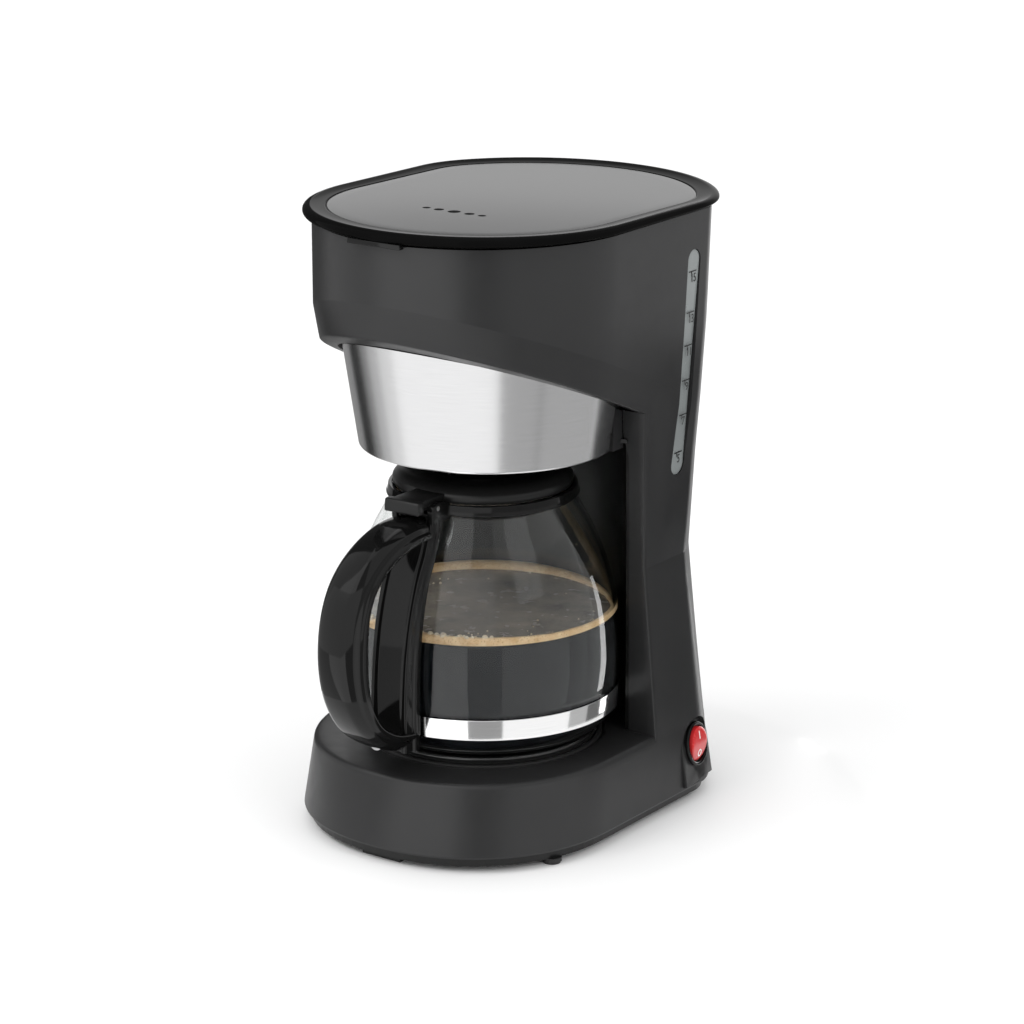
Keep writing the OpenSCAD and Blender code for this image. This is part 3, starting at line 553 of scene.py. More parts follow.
plastic("rubber", grey(0.012), 0.65, grain=0.00006)
plastic("valve_orange", (0.60, 0.10, 0.04), 0.4)
plastic("ceramic_white", (0.80, 0.78, 0.70), 0.5)
brushed("brass", (0.78, 0.55, 0.22), 0.25, round_axis=False)
plastic("wire_blue", (0.02, 0.06, 0.30), 0.4)
plastic("rocker_red", (0.55, 0.022, 0.024), 0.26, grain=0.000005, Coat_Weight=0.3)
filter_mesh("filter_gold")
plastic("print_white", (0.85, 0.85, 0.84), 0.5)
plastic("rim_black", grey(0.004), 0.07, grain=0.000001, grain_scale=300, wear=0.03,
        Specular_IOR_Level=0.008)
coffee_body()
coffee_surface()
foam()
bubble_film()


# ---- upper housing ----
def soffit_at(y):
    return SOFFIT_Z - SOFFIT_SLOPE * (y - COLUMN_FACE[0][0])


def smooth_step(x, low, high):
    t = min(max((x - low) / (high - low), 0), 1)
    return t * t * (3 - 2 * t)


BEVEL_FADE = (26, 52)          # stretch of Y over which the bevelled band fades out
CREASE_HOLD_Y = 56             # behind this the creases stay level


def crease_z(y):
    return soffit_at(min(y, CREASE_HOLD_Y))


def bevel_depth(y, z):
    """How far the outer face stands back from the outline because of the bevelled band."""
    low = crease_z(y)
    depth = BEVEL_INSET * (1 - smooth_step(y, *BEVEL_FADE))
    if z >= low + BEVEL_H:
        return 0
    if z >= low:
        return depth * (low + BEVEL_H - z) / BEVEL_H
    return depth * (z - WAIST_Z) / (low - WAIST_Z)


def bevel_crease(p):
    """Whether a point lies on one of the two creases of the bevelled band."""
    low = crease_z(p.y)
    return p.y < BEVEL_FADE[1] - 4 and (abs(p.z - low - BEVEL_H) < 0.02 or abs(p.z - low) < 0.02)


def upper_point(place, height_of):
    """Point of the outer face in one column of the outline, where height_of(y) gives its height."""
    z = height_of(0)
    for _ in range(5):
        z = height_of(outline_point(level_at(UPPER_LEVELS, z), place)[1])
    level = level_at(UPPER_LEVELS, z)
    y = outline_point(level, place)[1]
    inset = bevel_depth(y, z) if z < crease_z(y) + BEVEL_H and y < BEVEL_FADE[1] else 0
    return outline_point(level, place, inset) + (z,)


def upper_rows():
    """Rows of the outer face, lowest first, as heights by y, and how many are below the brew head."""
    below = [lambda y, t=t: mix(WAIST_Z, crease_z(y), t) for t in [0, .1, .25, .4, .55, .7, .85, .95]]
    band = [lambda y, t=t: crease_z(y) + BEVEL_H * t for t in [0, .2, .4, .6, .8, .94, 1]]
    above = [lambda y, t=t: mix(crease_z(y) + BEVEL_H, RIM_Z, t) for t in [.04, .2, .35, .5, .65, .8, .92, 1]]
    return below + band + above, len(below)


def hole_point(place):
    """Edge of the opening under the brew head, seen from the same column as the outer face."""
    name, t = place
    radius = BAND_R + BAND_TAPER * 60 + 2
    if name == "front":
        x, y = radius * sin(radians(90 * t)), FUNNEL_Y - radius * cos(radians(90 * t))
    else:
        x, y = radius, mix(FUNNEL_Y, COLUMN_FACE[0][0], t if name == "before" else 1)
    return x, y, soffit_at(y)


def flange_x(z):
    """Inner edge of the column's front face: the recess, and above it the cheek of the brew head."""
    recess = sqrt(RECESS_R ** 2 - (face_y(z) - CARAFE_Y) ** 2)
    return mix(recess, CHEEK_X, smooth_step(z, RECESS_TOP - 1, RECESS_TOP + 1))


def flanges(edge):
    """The column's front face right and left of the recess, from its outer edge inwards."""
    rows = []
    for outer in edge:
        z = outer[2]
        inner = (flange_x(max(z, DECK_Z)), face_y(z), z)
        rows.append([tuple(mix(a, b, t) for a, b in zip(outer, inner)) for t in (0, 0.35, 1)])
    return merge(loft(rows, closed=False), loft([mirrored(row) for row in rows], closed=False))


def upper_shell():
    """Brew head and upper column: side wall with its bevelled band, slanted soffit and column face."""
    rows, first_head_row = upper_rows()
    wall = [whole([upper_point(p, row) for p in HALF]) for row in rows]
    verts, faces = loft(wall)
    n = len(wall[0])
    front = set(range(FACE_COLUMN)) | set(range(n - FACE_COLUMN, n))
    faces = [f for k, f in enumerate(faces) if k // n >= first_head_row or k % n not in front]
    edge = [upper_point(p, rows[first_head_row]) for p in HALF[:FACE_COLUMN + 1]]
    hole = [hole_point(p) for p in HALF[:FACE_COLUMN + 1]]
    soffit = []
    for t in (0, 0.3, 0.65, 1):
        soffit.append(both_sides([tuple(mix(a, b, t) for a, b in zip(e, h)) for e, h in zip(edge, hole)]))
    face_edge = [upper_point(HALF[FACE_COLUMN], row) for row in rows[:first_head_row + 1]]
    obj = make_object("upper_shell", merge((verts, faces), loft(soffit, closed=False), flanges(face_edge)))
    bevel_edges(obj, 0.9, angle=40)
    thicken(obj, WALL)
    cut(obj, prism(stadium(WINDOW_W / 2), 60, 100))
    add_piece(obj, "machine", "charcoal_plastic", replaces=["upper_housing"], sharp=24, creases=bevel_crease)
    ceiling = rounded([(58, RECESS_TOP, .5), (75, RECESS_TOP, .5), (75, RECESS_TOP + 2, .5),
                       (58, RECESS_TOP + 2, .5)])
    piece("recess_ceiling", revolve(ceiling, CARAFE_Y, start=22, sweep=136), "machine", "matte_black")
    lug = rounded([(126, HINGE_Z - 3, 1), (HINGE_Y + 1.6, HINGE_Z - 3, 1.6), (HINGE_Y + 2.8, HINGE_Z, 1.6),
                   (HINGE_Y + 1.6, HINGE_Z + 3, 1.6), (126, HINGE_Z + 3, 1)])
    bevelled_pair("hinge_lug", prism(lug, 15, 22), "machine", "charcoal_plastic", 0.5)


# ---- level window ----
WINDOW_TOP = (60.6, 293)
WINDOW_FOOT = (52.8, 187)
WINDOW_W = 11.5
MARK_DEPTH = 0.5           # the marks' face behind the housing's side
LEVELS = [(287, "15"), (266, "13"), (249, "11"), (231, "9"), (213, "7"), (193, "5")]


def stadium(radius):
    """Outline of the window, a straight strip with round ends, as (y, z)."""
    steps = 16
    top, foot = Vector(WINDOW_TOP), Vector(WINDOW_FOOT)
    up = (top - foot).normalized()
    side = Vector((up.y, -up.x))
    ring = []
    for centre, start in ((top, 0), (foot, 180)):
        for k in range(steps + 1):
            a = radians(start + 180 * k / steps)
            ring.append(tuple(centre + radius * (cos(a) * side + sin(a) * up)))
    return ring


def side_x(y, z):
    """Outer face of the upper housing's side at a point of the side view."""
    level = level_at(UPPER_LEVELS, z)
    half, corner_y, corner_r = level[1], level[4], level[5]
    inset = bevel_depth(y, z)
    if y <= corner_y:
        return half - inset
    return half - corner_r + sqrt(max(corner_r ** 2 - (y - corner_y) ** 2, 0))


def window_mark_y(z):
    return mix(WINDOW_FOOT[0], WINDOW_TOP[0], (z - WINDOW_FOOT[1]) / (WINDOW_TOP[1] - WINDOW_FOOT[1]))


def level_window():
    """A low lens that follows the side of the housing."""
    back_depth = 2.2
    rows = ((5.68, back_depth), (5.68, 0.95), (5.55, 0.66), (5.2, 0.5), (3.4, 0.45), (1.7, 0.45), (0.01, 0.45))
    rings = [[(side_x(y, z) - depth, y, z) for y, z in stadium(radius)]
             for radius, depth in ((0.01, back_depth),) + rows]
    piece("window_lens", loft(rings), "machine", "level_window", replaces=["level_window"])


def digits(text, y, z, height):
    """Figures on the window as a flat mesh, their upper edge at z and centred on y."""
    curve = bpy.data.curves.new("figure", "FONT")
    curve.body, curve.size, curve.align_x = text, height / 0.7, "CENTER"
    obj = new_object("figure", curve)
    mesh = evaluated_mesh(obj)
    bpy.data.objects.remove(obj)
    flat = [(y + v.co.x * 0.8, z - height + v.co.y) for v in mesh.vertices]
    return [(side_x(a, b) - MARK_DEPTH, a, b) for a, b in flat], [tuple(p.vertices) for p in mesh.polygons]


def raised(part, lift, name):
    """A printed shape: a thin solid over a flat mesh."""
    obj = make_object(name, part)
    for polygon in obj.data.polygons:
        if polygon.normal.x < 0:
            polygon.flip()
    solid = obj.modifiers.new("ink", "SOLIDIFY")
    solid.thickness, solid.offset = lift * MM, 1
    apply_modifiers(obj)
    return obj


def bar(y0, y1, z0, z1):
    """A straight mark on the window as a flat mesh."""
    across = [mix(y0, y1, k / 8) for k in range(9)]
    return loft([[(side_x(y, z) - MARK_DEPTH, y, z) for y in across] for z in (z0, z1)], closed=False)


def level_marks():
    parts = []
    for z, text in LEVELS:
        y = window_mark_y(z)
        parts += [bar(y - 3.6, y + 3.2, z, z + 0.6), bar(y - 1.3, y - 0.8, z - 2.2, z),
                  digits(text, y + 0.6, z - 0.8, 4.4)]
    add_piece(raised(merge(*parts), 0.09, "level_figures"), "machine", "print_black", replaces=["level_marks"])


# ---- base ----
def base_shell():
    """Base moulding: flared side wall, rounded shoulder, deck round the warming plate and lower column."""
    wall = [whole(part_ring(level_at(BASE_LEVELS, z), HALF, z, 0.5 if z == FOOT_Z else 0))
            for z in [FOOT_Z, 9, 14, 20, 27, 34, 39, SHOULDER_Z]]
    front_half, back_half = HALF[:FACE_COLUMN + 1], HALF[FACE_COLUMN:]
    shoulder_level = level_at(BASE_LEVELS, SHOULDER_Z)
    lower = part_ring(shoulder_level, front_half, SHOULDER_Z)
    corner = part_ring(shoulder_level, front_half, DECK_Z, 0.25)
    upper = part_ring(DECK_LEVEL, front_half, DECK_Z)
    shoulder = []
    for k in range(6):
        shoulder.append(both_sides([tuple(bend(a, b, c, k / 5) for a, b, c in zip(*pts))
                                    for pts in zip(lower, corner, upper)]))
    inside = degrees(asin((face_y(DECK_Z) - CARAFE_Y) / RECESS_R))
    rim = [outline_point(DECK_LEVEL, p) for p in front_half]
    for k in range(19):
        a = radians(inside + (90 - inside) * k / 18)
        rim.append((RECESS_R * cos(a), CARAFE_Y + RECESS_R * sin(a)))
    hole_r = PLATE_R + 2.6
    deck = []
    for t in (0, 0.12, 0.5, 0.9, 1):
        half = []
        for x, y in rim:
            a = atan2(y - CARAFE_Y, x)
            half.append((mix(x, hole_r * cos(a), t), mix(y, CARAFE_Y + hole_r * sin(a), t),
                         DECK_Z - (1.5 if t == 1 else 0)))
        deck.append(whole(half))
    column = []
    for z in [SHOULDER_Z, 43, 46, 54, 66, 80, 95, 110, 124, 133, WAIST_Z]:
        level = shoulder_level if z == SHOULDER_Z else level_at(COLUMN_LEVELS, z)
        half = part_ring(level, back_half, z)
        column.append(half + mirrored(half[-2::-1]))
    obj = make_object("base_shell", merge(loft(wall), loft(shoulder, closed=False), loft(deck),
                                          loft(column, closed=False), flanges([row[0] for row in column])))
    bevel_edges(obj, 0.9, angle=50)
    thicken(obj, WALL)
    cut(obj, moved(prism(arch(ARCH_R, -34), -1, 22), SWITCH_FRAME))
    add_piece(obj, "machine", "charcoal_plastic", replaces=["base_housing"], sharp=24)


# ---- switch ----
SWITCH_FRAME = (Matrix.Translation(SWITCH_AT) @ Matrix.Rotation(radians(SWITCH_YAW), 4, "Z")
                @ Matrix.Rotation(radians(-SWITCH_TILT), 4, "Y"))
ARCH_R = 14.5
SWITCH_STEPS = 72


def arch(radius, foot):
    """Outline of the switch recess in its own frame, as (y, z): a round top and straight legs."""
    top = [(radius * cos(radians(a)), radius * sin(radians(a))) for a in range(0, 181, 9)]
    return top + [(-radius, foot), (radius, foot)]


def turned(profile, closed=True):
    """A profile of (radius, x) turned round the X axis of the switch frame."""
    return loft([[(x, y, z) for y, z in circle(r, SWITCH_STEPS)] for r, x in profile], wrap=closed)


def switch_pieces():
    pocket = make_object("switch_pocket", moved(prism(arch(ARCH_R + 1.2, -20), -4, -1.0), SWITCH_FRAME))
    cut(pocket, moved(turned([(0, -12), (11.2, -12), (11.2, 4), (0, 4)], closed=False), SWITCH_FRAME))
    bevel_edges(pocket, 0.3)
    add_piece(pocket, "machine", "charcoal_plastic")
    body = rounded([(9.9, -9, 0), (10.8, -9, .3), (10.8, -1, .1), (11.8, -1, .3), (11.8, 0.5, .6),
                    (11.0, 1.2, .5), (9.9, 0.7, .4)])
    floor = [(0, -9), (10.6, -9), (10.6, -17.5), (10.2, -18), (0, -18)]
    piece("switch_bezel", moved(merge(turned(body), turned(floor, closed=False)), SWITCH_FRAME), "machine",
          "gloss_black", replaces=["switch_body"])
    rocker_frame = SWITCH_FRAME @ Matrix.Rotation(radians(ROCKER_HALF_ANGLE), 4, "Y")
    add_piece(rocker(rocker_frame), "switch_rocker", "rocker_red", replaces=["rocker"])
    marks = merge(ring_mark(2.1, 1.35, -5.0), bar_mark(5.0, 0.45, 2.1))
    ink = make_object("rocker_marks", moved(marks, rocker_frame))
    add_piece(ink, "switch_rocker", "rocker_red", material="print_white")


def rocker_face(z):
    """Height of the rocker's face over its pivot plane: two gentle hollows that meet in the middle."""
    return 2.2 - 1.15 * (abs(z) / 9) ** 1.6


def rocker(frame_matrix):
    rings = 12
    rows = []
    for k in range(rings + 1):
        radius = 9.15 * k / rings
        rim = 0.55 * max(radius - 8.3, 0) ** 2
        rows.append([(rocker_face(z) - rim, y, z) for y, z in circle(radius, SWITCH_STEPS)])
    for radius, x in ((9.15, -3.0), (0.001, -3.3)):
        rows.append([(x, y, z) for y, z in circle(radius, SWITCH_STEPS)])
    return make_object("rocker_cap", moved(loft(rows), frame_matrix))


def mark_solid(outline_in, outline_out):
    """A mark printed on the rocker, between two outlines of (y, z)."""
    rings = []
    for outline, lift in ((outline_out, -0.05), (outline_out, 0.05), (outline_in, 0.05), (outline_in, -0.05)):
        rings.append([(rocker_face(z) + lift, y, z) for y, z in outline])
    return loft(rings, wrap=True)


def ring_mark(r_out, r_in, z):
    return mark_solid(circle(r_in, 32, y=z), circle(r_out, 32, y=z))


def bar_mark(z, half_w, half_h):
    def box_outline(w, h):
        return [(w, z - h), (w, z), (w, z + h), (-w, z + h), (-w, z), (-w, z - h)]
    return mark_solid(box_outline(0.01, half_h - 0.3), box_outline(half_w, half_h))


# ---- brew head ----
def band_r_at(z):
    return BAND_R + BAND_TAPER * (z - BAND_Z)


def steel_band():
    """Brushed sheet round the front of the brew cone, with a rolled lower edge."""
    steps = 160
    columns = []
    for i in range(steps + 1):
        a = radians(-90 - BAND_ANGLE / 2 + BAND_ANGLE * i / steps)
        y = FUNNEL_Y + 68 * sin(a)
        top = min(soffit_at(y) + 2.6, 268)
        heights = [BAND_Z + 0.5, BAND_Z + 0.8] + [mix(BAND_Z + 1.2, top, k / 10) for k in range(11)]
        outer = [(band_r_at(z) + 0.97, z) for z in heights]
        inner = [(band_r_at(z) + 0.25, z) for z in [mix(BAND_Z + 0.5, top, k / 10) for k in range(10, -1, -1)]]
        lip = [(band_r_at(BAND_Z) + 0.45, BAND_Z), (band_r_at(BAND_Z) + 0.8, BAND_Z)]
        columns.append([(r * cos(a), FUNNEL_Y + r * sin(a), z) for r, z in outer + inner + lip])
    piece("band_sheet", loft(columns, caps=True), "machine", "brushed_steel", replaces=["steel_band"], sharp=40)


# ---- lid ----
LID_RIM_W = 11.5
RIM_FALL = 0.6
ROLL_W = 3.6               # width of the rim's rolled edge
PANEL_TILT = 1.0
VENT_Y = -29.5
VENTS = [(-17.1, 2.1), (-9.4, 2.6), (0, 3.3), (9.4, 2.6), (17.1, 2.1)]


def panel_z(y):
    """Upper face of the tilted panel."""
    return LID_Z + 3.05 - tan(radians(PANEL_TILT)) * y


def lid_ring_at(inset, height_of):
    return [(x, y, height_of(y)) for x, y, _ in whole(part_ring(LID_LEVEL, HALF, 0, inset))]


def lid_rings(rows):
    """Rings of (inset from the rim's inner edge, depth under the panel's face)."""
    return [lid_ring_at(LID_RIM_W + inset, lambda y, drop=drop: panel_z(y) - drop) for inset, drop in rows]


def rim_z(y, height):
    """A height of the rim over its underside, which falls towards the back."""
    share = min(max((y - LID_LEVEL[2]) / (LID_LEVEL[3] - LID_LEVEL[2]), 0), 1)
    return LID_Z + height * (1 - RIM_FALL * share)


def lid_pieces():
    """Glossy rim with a rolled edge, a satin panel laid in it, finger tab and hinge knuckle."""
    high = LID_TOP - LID_Z - 0.02
    outside = rounded([(LID_RIM_W, 0.4, 0), (1.3, 0, .6), (0.05, 1.4, .8), (0.05, 3.2, 1),
                       (1.3, high - 0.7, 1.2), (ROLL_W, high, 1.6)], closed=False)
    rings = [lid_ring_at(inset, lambda y, h=h: rim_z(y, h)) for inset, h in outside[:-1]]
    for t in (0, 0.1, 0.25, 0.45, 0.65, 0.82, 0.94, 1):
        share = 1 - (1 - t) ** 1.7
        rings.append(lid_ring_at(mix(ROLL_W, LID_RIM_W, t), lambda y, share=share: mix(
            rim_z(y, high), panel_z(y) + 0.15, share)))
    rings += lid_rings([(0.25, 0.1), (0.3, 0.5), (0.3, 2.2)])
    piece("lid_rim", loft(rings, wrap=True), "top_lid", "gloss_black", replaces=["lid"], sharp=50,
          material="rim_black")
    panel = lid_rings([(28.5, 1.8), (0.4, 1.8), (0.4, 0.35), (0.75, 0.04), (1.3, 0), (8, 0), (28.5, 0)])
    obj = make_object("lid_inlay", loft(panel, caps=True))
    cut(obj, merge(*[rod(x, VENT_Y, r, 310, 330, 32) for x, r in VENTS]))
    add_piece(obj, "top_lid", "lid_panel", replaces=["lid_panel"], sharp=40)
    tab = rounded([(-16.4, 0, 1), (16.4, 0, 1), (15.8, 2.6, .6), (-15.8, 2.6, .6)])
    rows = [[(x, y, LID_Z - 2.5 + z) for x, z in tab] for y in (-95.9, -92.6)]
    bevelled("lid_tab", loft(rows, caps=True), "top_lid", "gloss_black", 0.4)
    knuckle = rounded([(HINGE_Y - 3, HINGE_Z, 2.2), (HINGE_Y - 1.5, HINGE_Z - 3, 2),
                       (HINGE_Y + 2.4, HINGE_Z - 2, 2), (HINGE_Y + 2.4, LID_Z + 1.2, .6),
                       (HINGE_Y - 1.8, LID_Z + 1.2, .6)])
    bevelled("lid_knuckle", prism(knuckle, -14.5, 14.5), "top_lid", "gloss_black", 0.4)


# ---- warming plate ----
def plate_pieces():
    r, top, deck = PLATE_R, PLATE_Z, DECK_Z
    plate = rounded([(0, top - 2, 0), (r - 2.4, top - 2, 0), (r - 2.4, deck - 1.4, 0), (r - 0.3, deck - 1.4, .4),
                     (r, top - 1, .8), (r - 1, top, .7), (r - 3.2, top, .6), (r - 3.8, top - 0.3, .4),
                     (0, top - 0.3, 0)], closed=False)
    piece("hot_plate", revolve(plate, CARAFE_Y, closed=False), "machine", "plate_enamel",
          replaces=["warming_plate"])
    seal = rounded([(r + 0.15, deck - 3.6, .2), (r + 4.4, deck - 3.6, .2), (r + 4.4, deck - 2.7, .2),
                    (r + 2.5, deck - 2.7, .1), (r + 2.5, deck + 0.35, .5), (r + 0.15, deck + 0.35, .5)])
    piece("plate_gasket", revolve(seal, CARAFE_Y), "machine", "rubber", replaces=["plate_seal"])


# ---- carafe ----
GLASS_KNOTS = [(50, 0), (57.5, .6), (63.2, 3.4), (67.2, 8), (69.4, 14), (70.3, 23.4), (71.2, 34), (71.2, 46),
               (69.6, 64), (66.4, 80), (61.8, 94), (55.6, 108), (49.8, 118.5), (47, 124), (46.4, 129)]
COLLAR_Z = node_box("carafe_collar")[0].z
CARAFE_HINGE_Y = -61.5
CARAFE_HINGE_Z = 179
LID_SEAT_Z = 178.9


def inward(profile, gap):
    """A profile moved towards its axis, square to itself."""
    out = []
    for i, here in enumerate(profile):
        along = (profile[min(i + 1, len(profile) - 1)] - profile[max(i - 1, 0)]).normalized()
        out.append(here + gap * Vector((-along.y, along.x)))
    return out


def glass_inside(gap):
    inner = inward(spline(GLASS_KNOTS, 6), gap)
    return [p for p in inner if p.y > gap + 0.4 or p.x < 54]


def carafe_glass():
    foot = [(0, 0.9), (46, 0.9), (48.5, 0.1)]
    lip = [(46.2, 129.6), (45.4, 129.8), (44.5, 129.5)]
    profile = foot + spline(GLASS_KNOTS, 6) + lip + glass_inside(GLASS_T)[::-1] + [(44, GLASS_T), (0, GLASS_T)]
    part = revolve([(r, CARAFE_Z + min(z, 129)) for r, z in profile], CARAFE_Y, closed=False)
    piece("glass_bowl", part, "carafe", "carafe_glass", replaces=["carafe_glass"])


def coffee():
    """Coffee in the bowl with its froth. It rides with the carafe."""
    gap = 0.12
    side = [p for p in glass_inside(GLASS_T + gap) if p.y < COFFEE_Z - CARAFE_Z]
    edge_r, floor = side[-1].x, CARAFE_Z + GLASS_T + gap
    profile = [(0, floor), (46, floor)] + [(p.x, CARAFE_Z + p.y) for p in side]
    profile += [(edge_r - 0.1, COFFEE_Z), (edge_r - 1.2, COFFEE_Z - 0.5), (edge_r - 3, COFFEE_Z - 0.7),
                (0, COFFEE_Z - 0.7)]
    piece("coffee_fill", revolve(profile, CARAFE_Y, closed=False), "carafe", "gloss_black", material="coffee")
    skin = [(0, COFFEE_Z - 0.65), (edge_r * 0.5, COFFEE_Z - 0.62), (edge_r - 1.5, COFFEE_Z - 0.4),
            (edge_r - 1.5, COFFEE_Z - 0.69), (0, COFFEE_Z - 0.69)]
    piece("coffee_skin", revolve(skin, CARAFE_Y, closed=False), "carafe", "gloss_black", material="coffee_surface")
    froth(edge_r, (side[-4].x - edge_r) / (side[-1].y - side[-4].y))


FROTH_BACK, FROTH_FRONT = 125, -88       # where the froth is widest and highest, as angles from +X towards +Y
FROTH_BUBBLES, LOOSE_BUBBLES = 50, 60    # bubbles on the froth in front, and on the open coffee


def froth(edge_r, lean):
    """Froth ring: flat against the leaning glass, wavy along its inner edge, with larger bubbles in front."""
    draw = random.Random(7)
    phases = [draw.uniform(0, 2 * pi) for _ in range(5)]
    steps, section = 240, 14
    rings = []
    for i in range(steps):
        a = 2 * pi * i / steps
        wave = sum(sin(a * f + p) / f ** 0.5 for f, p in zip((3, 7, 13, 22, 41), phases))
        away = max(cos(a - radians(FROTH_BACK)), 0)
        near = max(cos(a - radians(FROTH_FRONT)), 0) ** 2
        width = 2.5 + 7 * away ** 1.3 + 3.2 * near + 0.5 * wave
        height = 1.8 + 1.1 * away + 1.3 * near + 0.16 * wave
        ring = []
        for k in range(section):
            b = 2 * pi * k / section
            z = height * (1 if sin(b) > 0 else 0.8) * sin(b)
            out = max(cos(b), 0) ** 0.4 if cos(b) > 0 else cos(b)
            r = edge_r + 0.04 - lean * z - width / 2 * (1 - out)
            ring.append((r * cos(a), CARAFE_Y + r * sin(a), COFFEE_Z - 0.3 + z))
        rings.append(ring)
    piece("froth_ring", loft(rings, wrap=True), "carafe", "gloss_black", material="foam")
    bubbles = []
    for _ in range(FROTH_BUBBLES):
        a, r = radians(draw.uniform(-116, -50)), edge_r - draw.uniform(1.8, 3.8)
        bubbles.append(bubble(a, r, draw.uniform(1.7, 2.4), draw.uniform(0.8, 1.7)))
    for _ in range(LOOSE_BUBBLES):
        a, r = draw.uniform(0, 2 * pi), edge_r - draw.uniform(3, 9) - 26 * draw.random() ** 3
        bubbles.append(bubble(a, r, -0.2, draw.uniform(0.3, 0.8)))
    piece("froth_bubbles", merge(*bubbles), "carafe", "gloss_black", material="bubble_film")


def bubble(a, r, lift, size):
    """A dome that starts a little under its widest ring, at an angle and a radius in the carafe."""
    x, y = r * cos(a), CARAFE_Y + r * sin(a)
    rings = []
    for k in range(6):
        b = radians(-20 + 110 * k / 5)
        rings.append([(u, v, COFFEE_Z + lift + size * sin(b)) for u, v in circle(size * cos(b), 12, x, y)])
    return loft(rings, caps=True)


def carafe_fittings():
    """Steel band, neck collar and the pieces that hold the handle."""
    band = rounded([(70.6, 62.2, .2), (71.35, 62.2, .35), (71.35, 73, .35), (70.6, 73, .2)])
    piece("carafe_hoop", revolve(band, CARAFE_Y), "carafe", "bright_steel", replaces=["carafe_band"], sharp=50)
    z = COLLAR_Z
    collar = rounded([(47.0, z + 2.2, .2), (49.6, z + 2.2, .5), (50.0, z + 3.2, .5), (49.3, z + 4.2, .4),
                      (48.7, z + 7.6, .5), (46.6, z + 7.6, .2), (46.6, z + 3, .2)])
    piece("neck_collar", revolve(collar, CARAFE_Y), "carafe", "gloss_black", replaces=["carafe_collar"], sharp=40)
    ear = rounded([(-66.3, z + 0.2, 1), (-51, z + 0.2, .5), (-51, z + 9, 2), (-58, z + 10.8, 2),
                   (-66.3, z + 9.5, 3)])
    bevelled_pair("hinge_ear", prism(ear, 9.5, 12.8), "carafe", "gloss_black", 0.6)
    bridge = rounded([(-63, z + 0.1, .8), (-52, z + 0.1, .5), (-52, z + 4.6, .5), (-63, z + 4.6, 1)])
    bevelled("collar_bridge", prism(bridge, -12.7, 12.7), "carafe", "gloss_black", 0.5)


# The handle's edges in the side view, as (y, z)
GRIP_OUTER = [(-67.5, 174.6), (-77, 175), (-88, 173.8), (-101.5, 169.4), (-114, 162), (-124.2, 152.4),
              (-131.6, 139.8), (-135.1, 125), (-134.8, 109), (-130.2, 92), (-120.5, 76.2), (-108, 65.4),
              (-93, 57.8), (-80, 56)]
GRIP_INNER = [(-67.5, 164.5), (-79, 164.2), (-90, 161.6), (-101, 157), (-110, 150.5), (-116.4, 141), (-119.2, 129),
              (-119.8, 115), (-119.2, 101), (-116, 88), (-109.5, 77.5), (-100, 70.5), (-90, 66.8), (-80, 65.5)]
STRAP_OUTER = [(-88.2, 56.2), (-88.2, 76), (-86.8, 100), (-83.2, 122), (-77, 142), (-70.2, 156), (-66.2, 168),
               (-65, 174)]
STRAP_INNER = [(-77.9, 56.2), (-77.9, 76), (-77.2, 100), (-74.6, 122), (-69.4, 142), (-62.6, 156), (-58.4, 168),
               (-57.6, 174)]
STRAP_DEPTH = 10.2


def handle_part(name, node, section, depth, outer, inner):
    """A section of (x, height over the inner edge) carried along the two edges of a part."""
    section = rounded(section, steps=3)
    rings = [[(x, mix(near.x, far.x, t / depth), mix(near.y, far.y, t / depth)) for x, t in section]
             for far, near in zip(spline(outer, 6), spline(inner, 6))]
    piece(name, loft(rings, caps=True), "carafe", "gloss_black", replaces=[node], sharp=38)


def handle_pieces():
    """Grip with a crowned back and a lip along its inner edge, and the strap beside the glass."""
    half = HANDLE_W / 2
    grip = symmetric([(half, 0.0, .8), (half, 0.26, .8), (half - 1.4, 0.36, 1), (half - 1.9, 0.62, 3),
                      (half - 5.4, 0.93, 4)], [(0, 1.0, 6)])
    handle_part("grip", "handle_grip", grip, 1, GRIP_OUTER, GRIP_INNER)
    strap = symmetric([(half, 0, .4), (half, 4.0, .8), (half - 1.6, 4.5, .5), (half - 1.8, 10.0, 1.2),
                       (half - 4.4, STRAP_DEPTH, .8), (half - 5.6, 9.2, .8)])
    handle_part("strap", "handle_strap", strap, STRAP_DEPTH, STRAP_OUTER, STRAP_INNER)


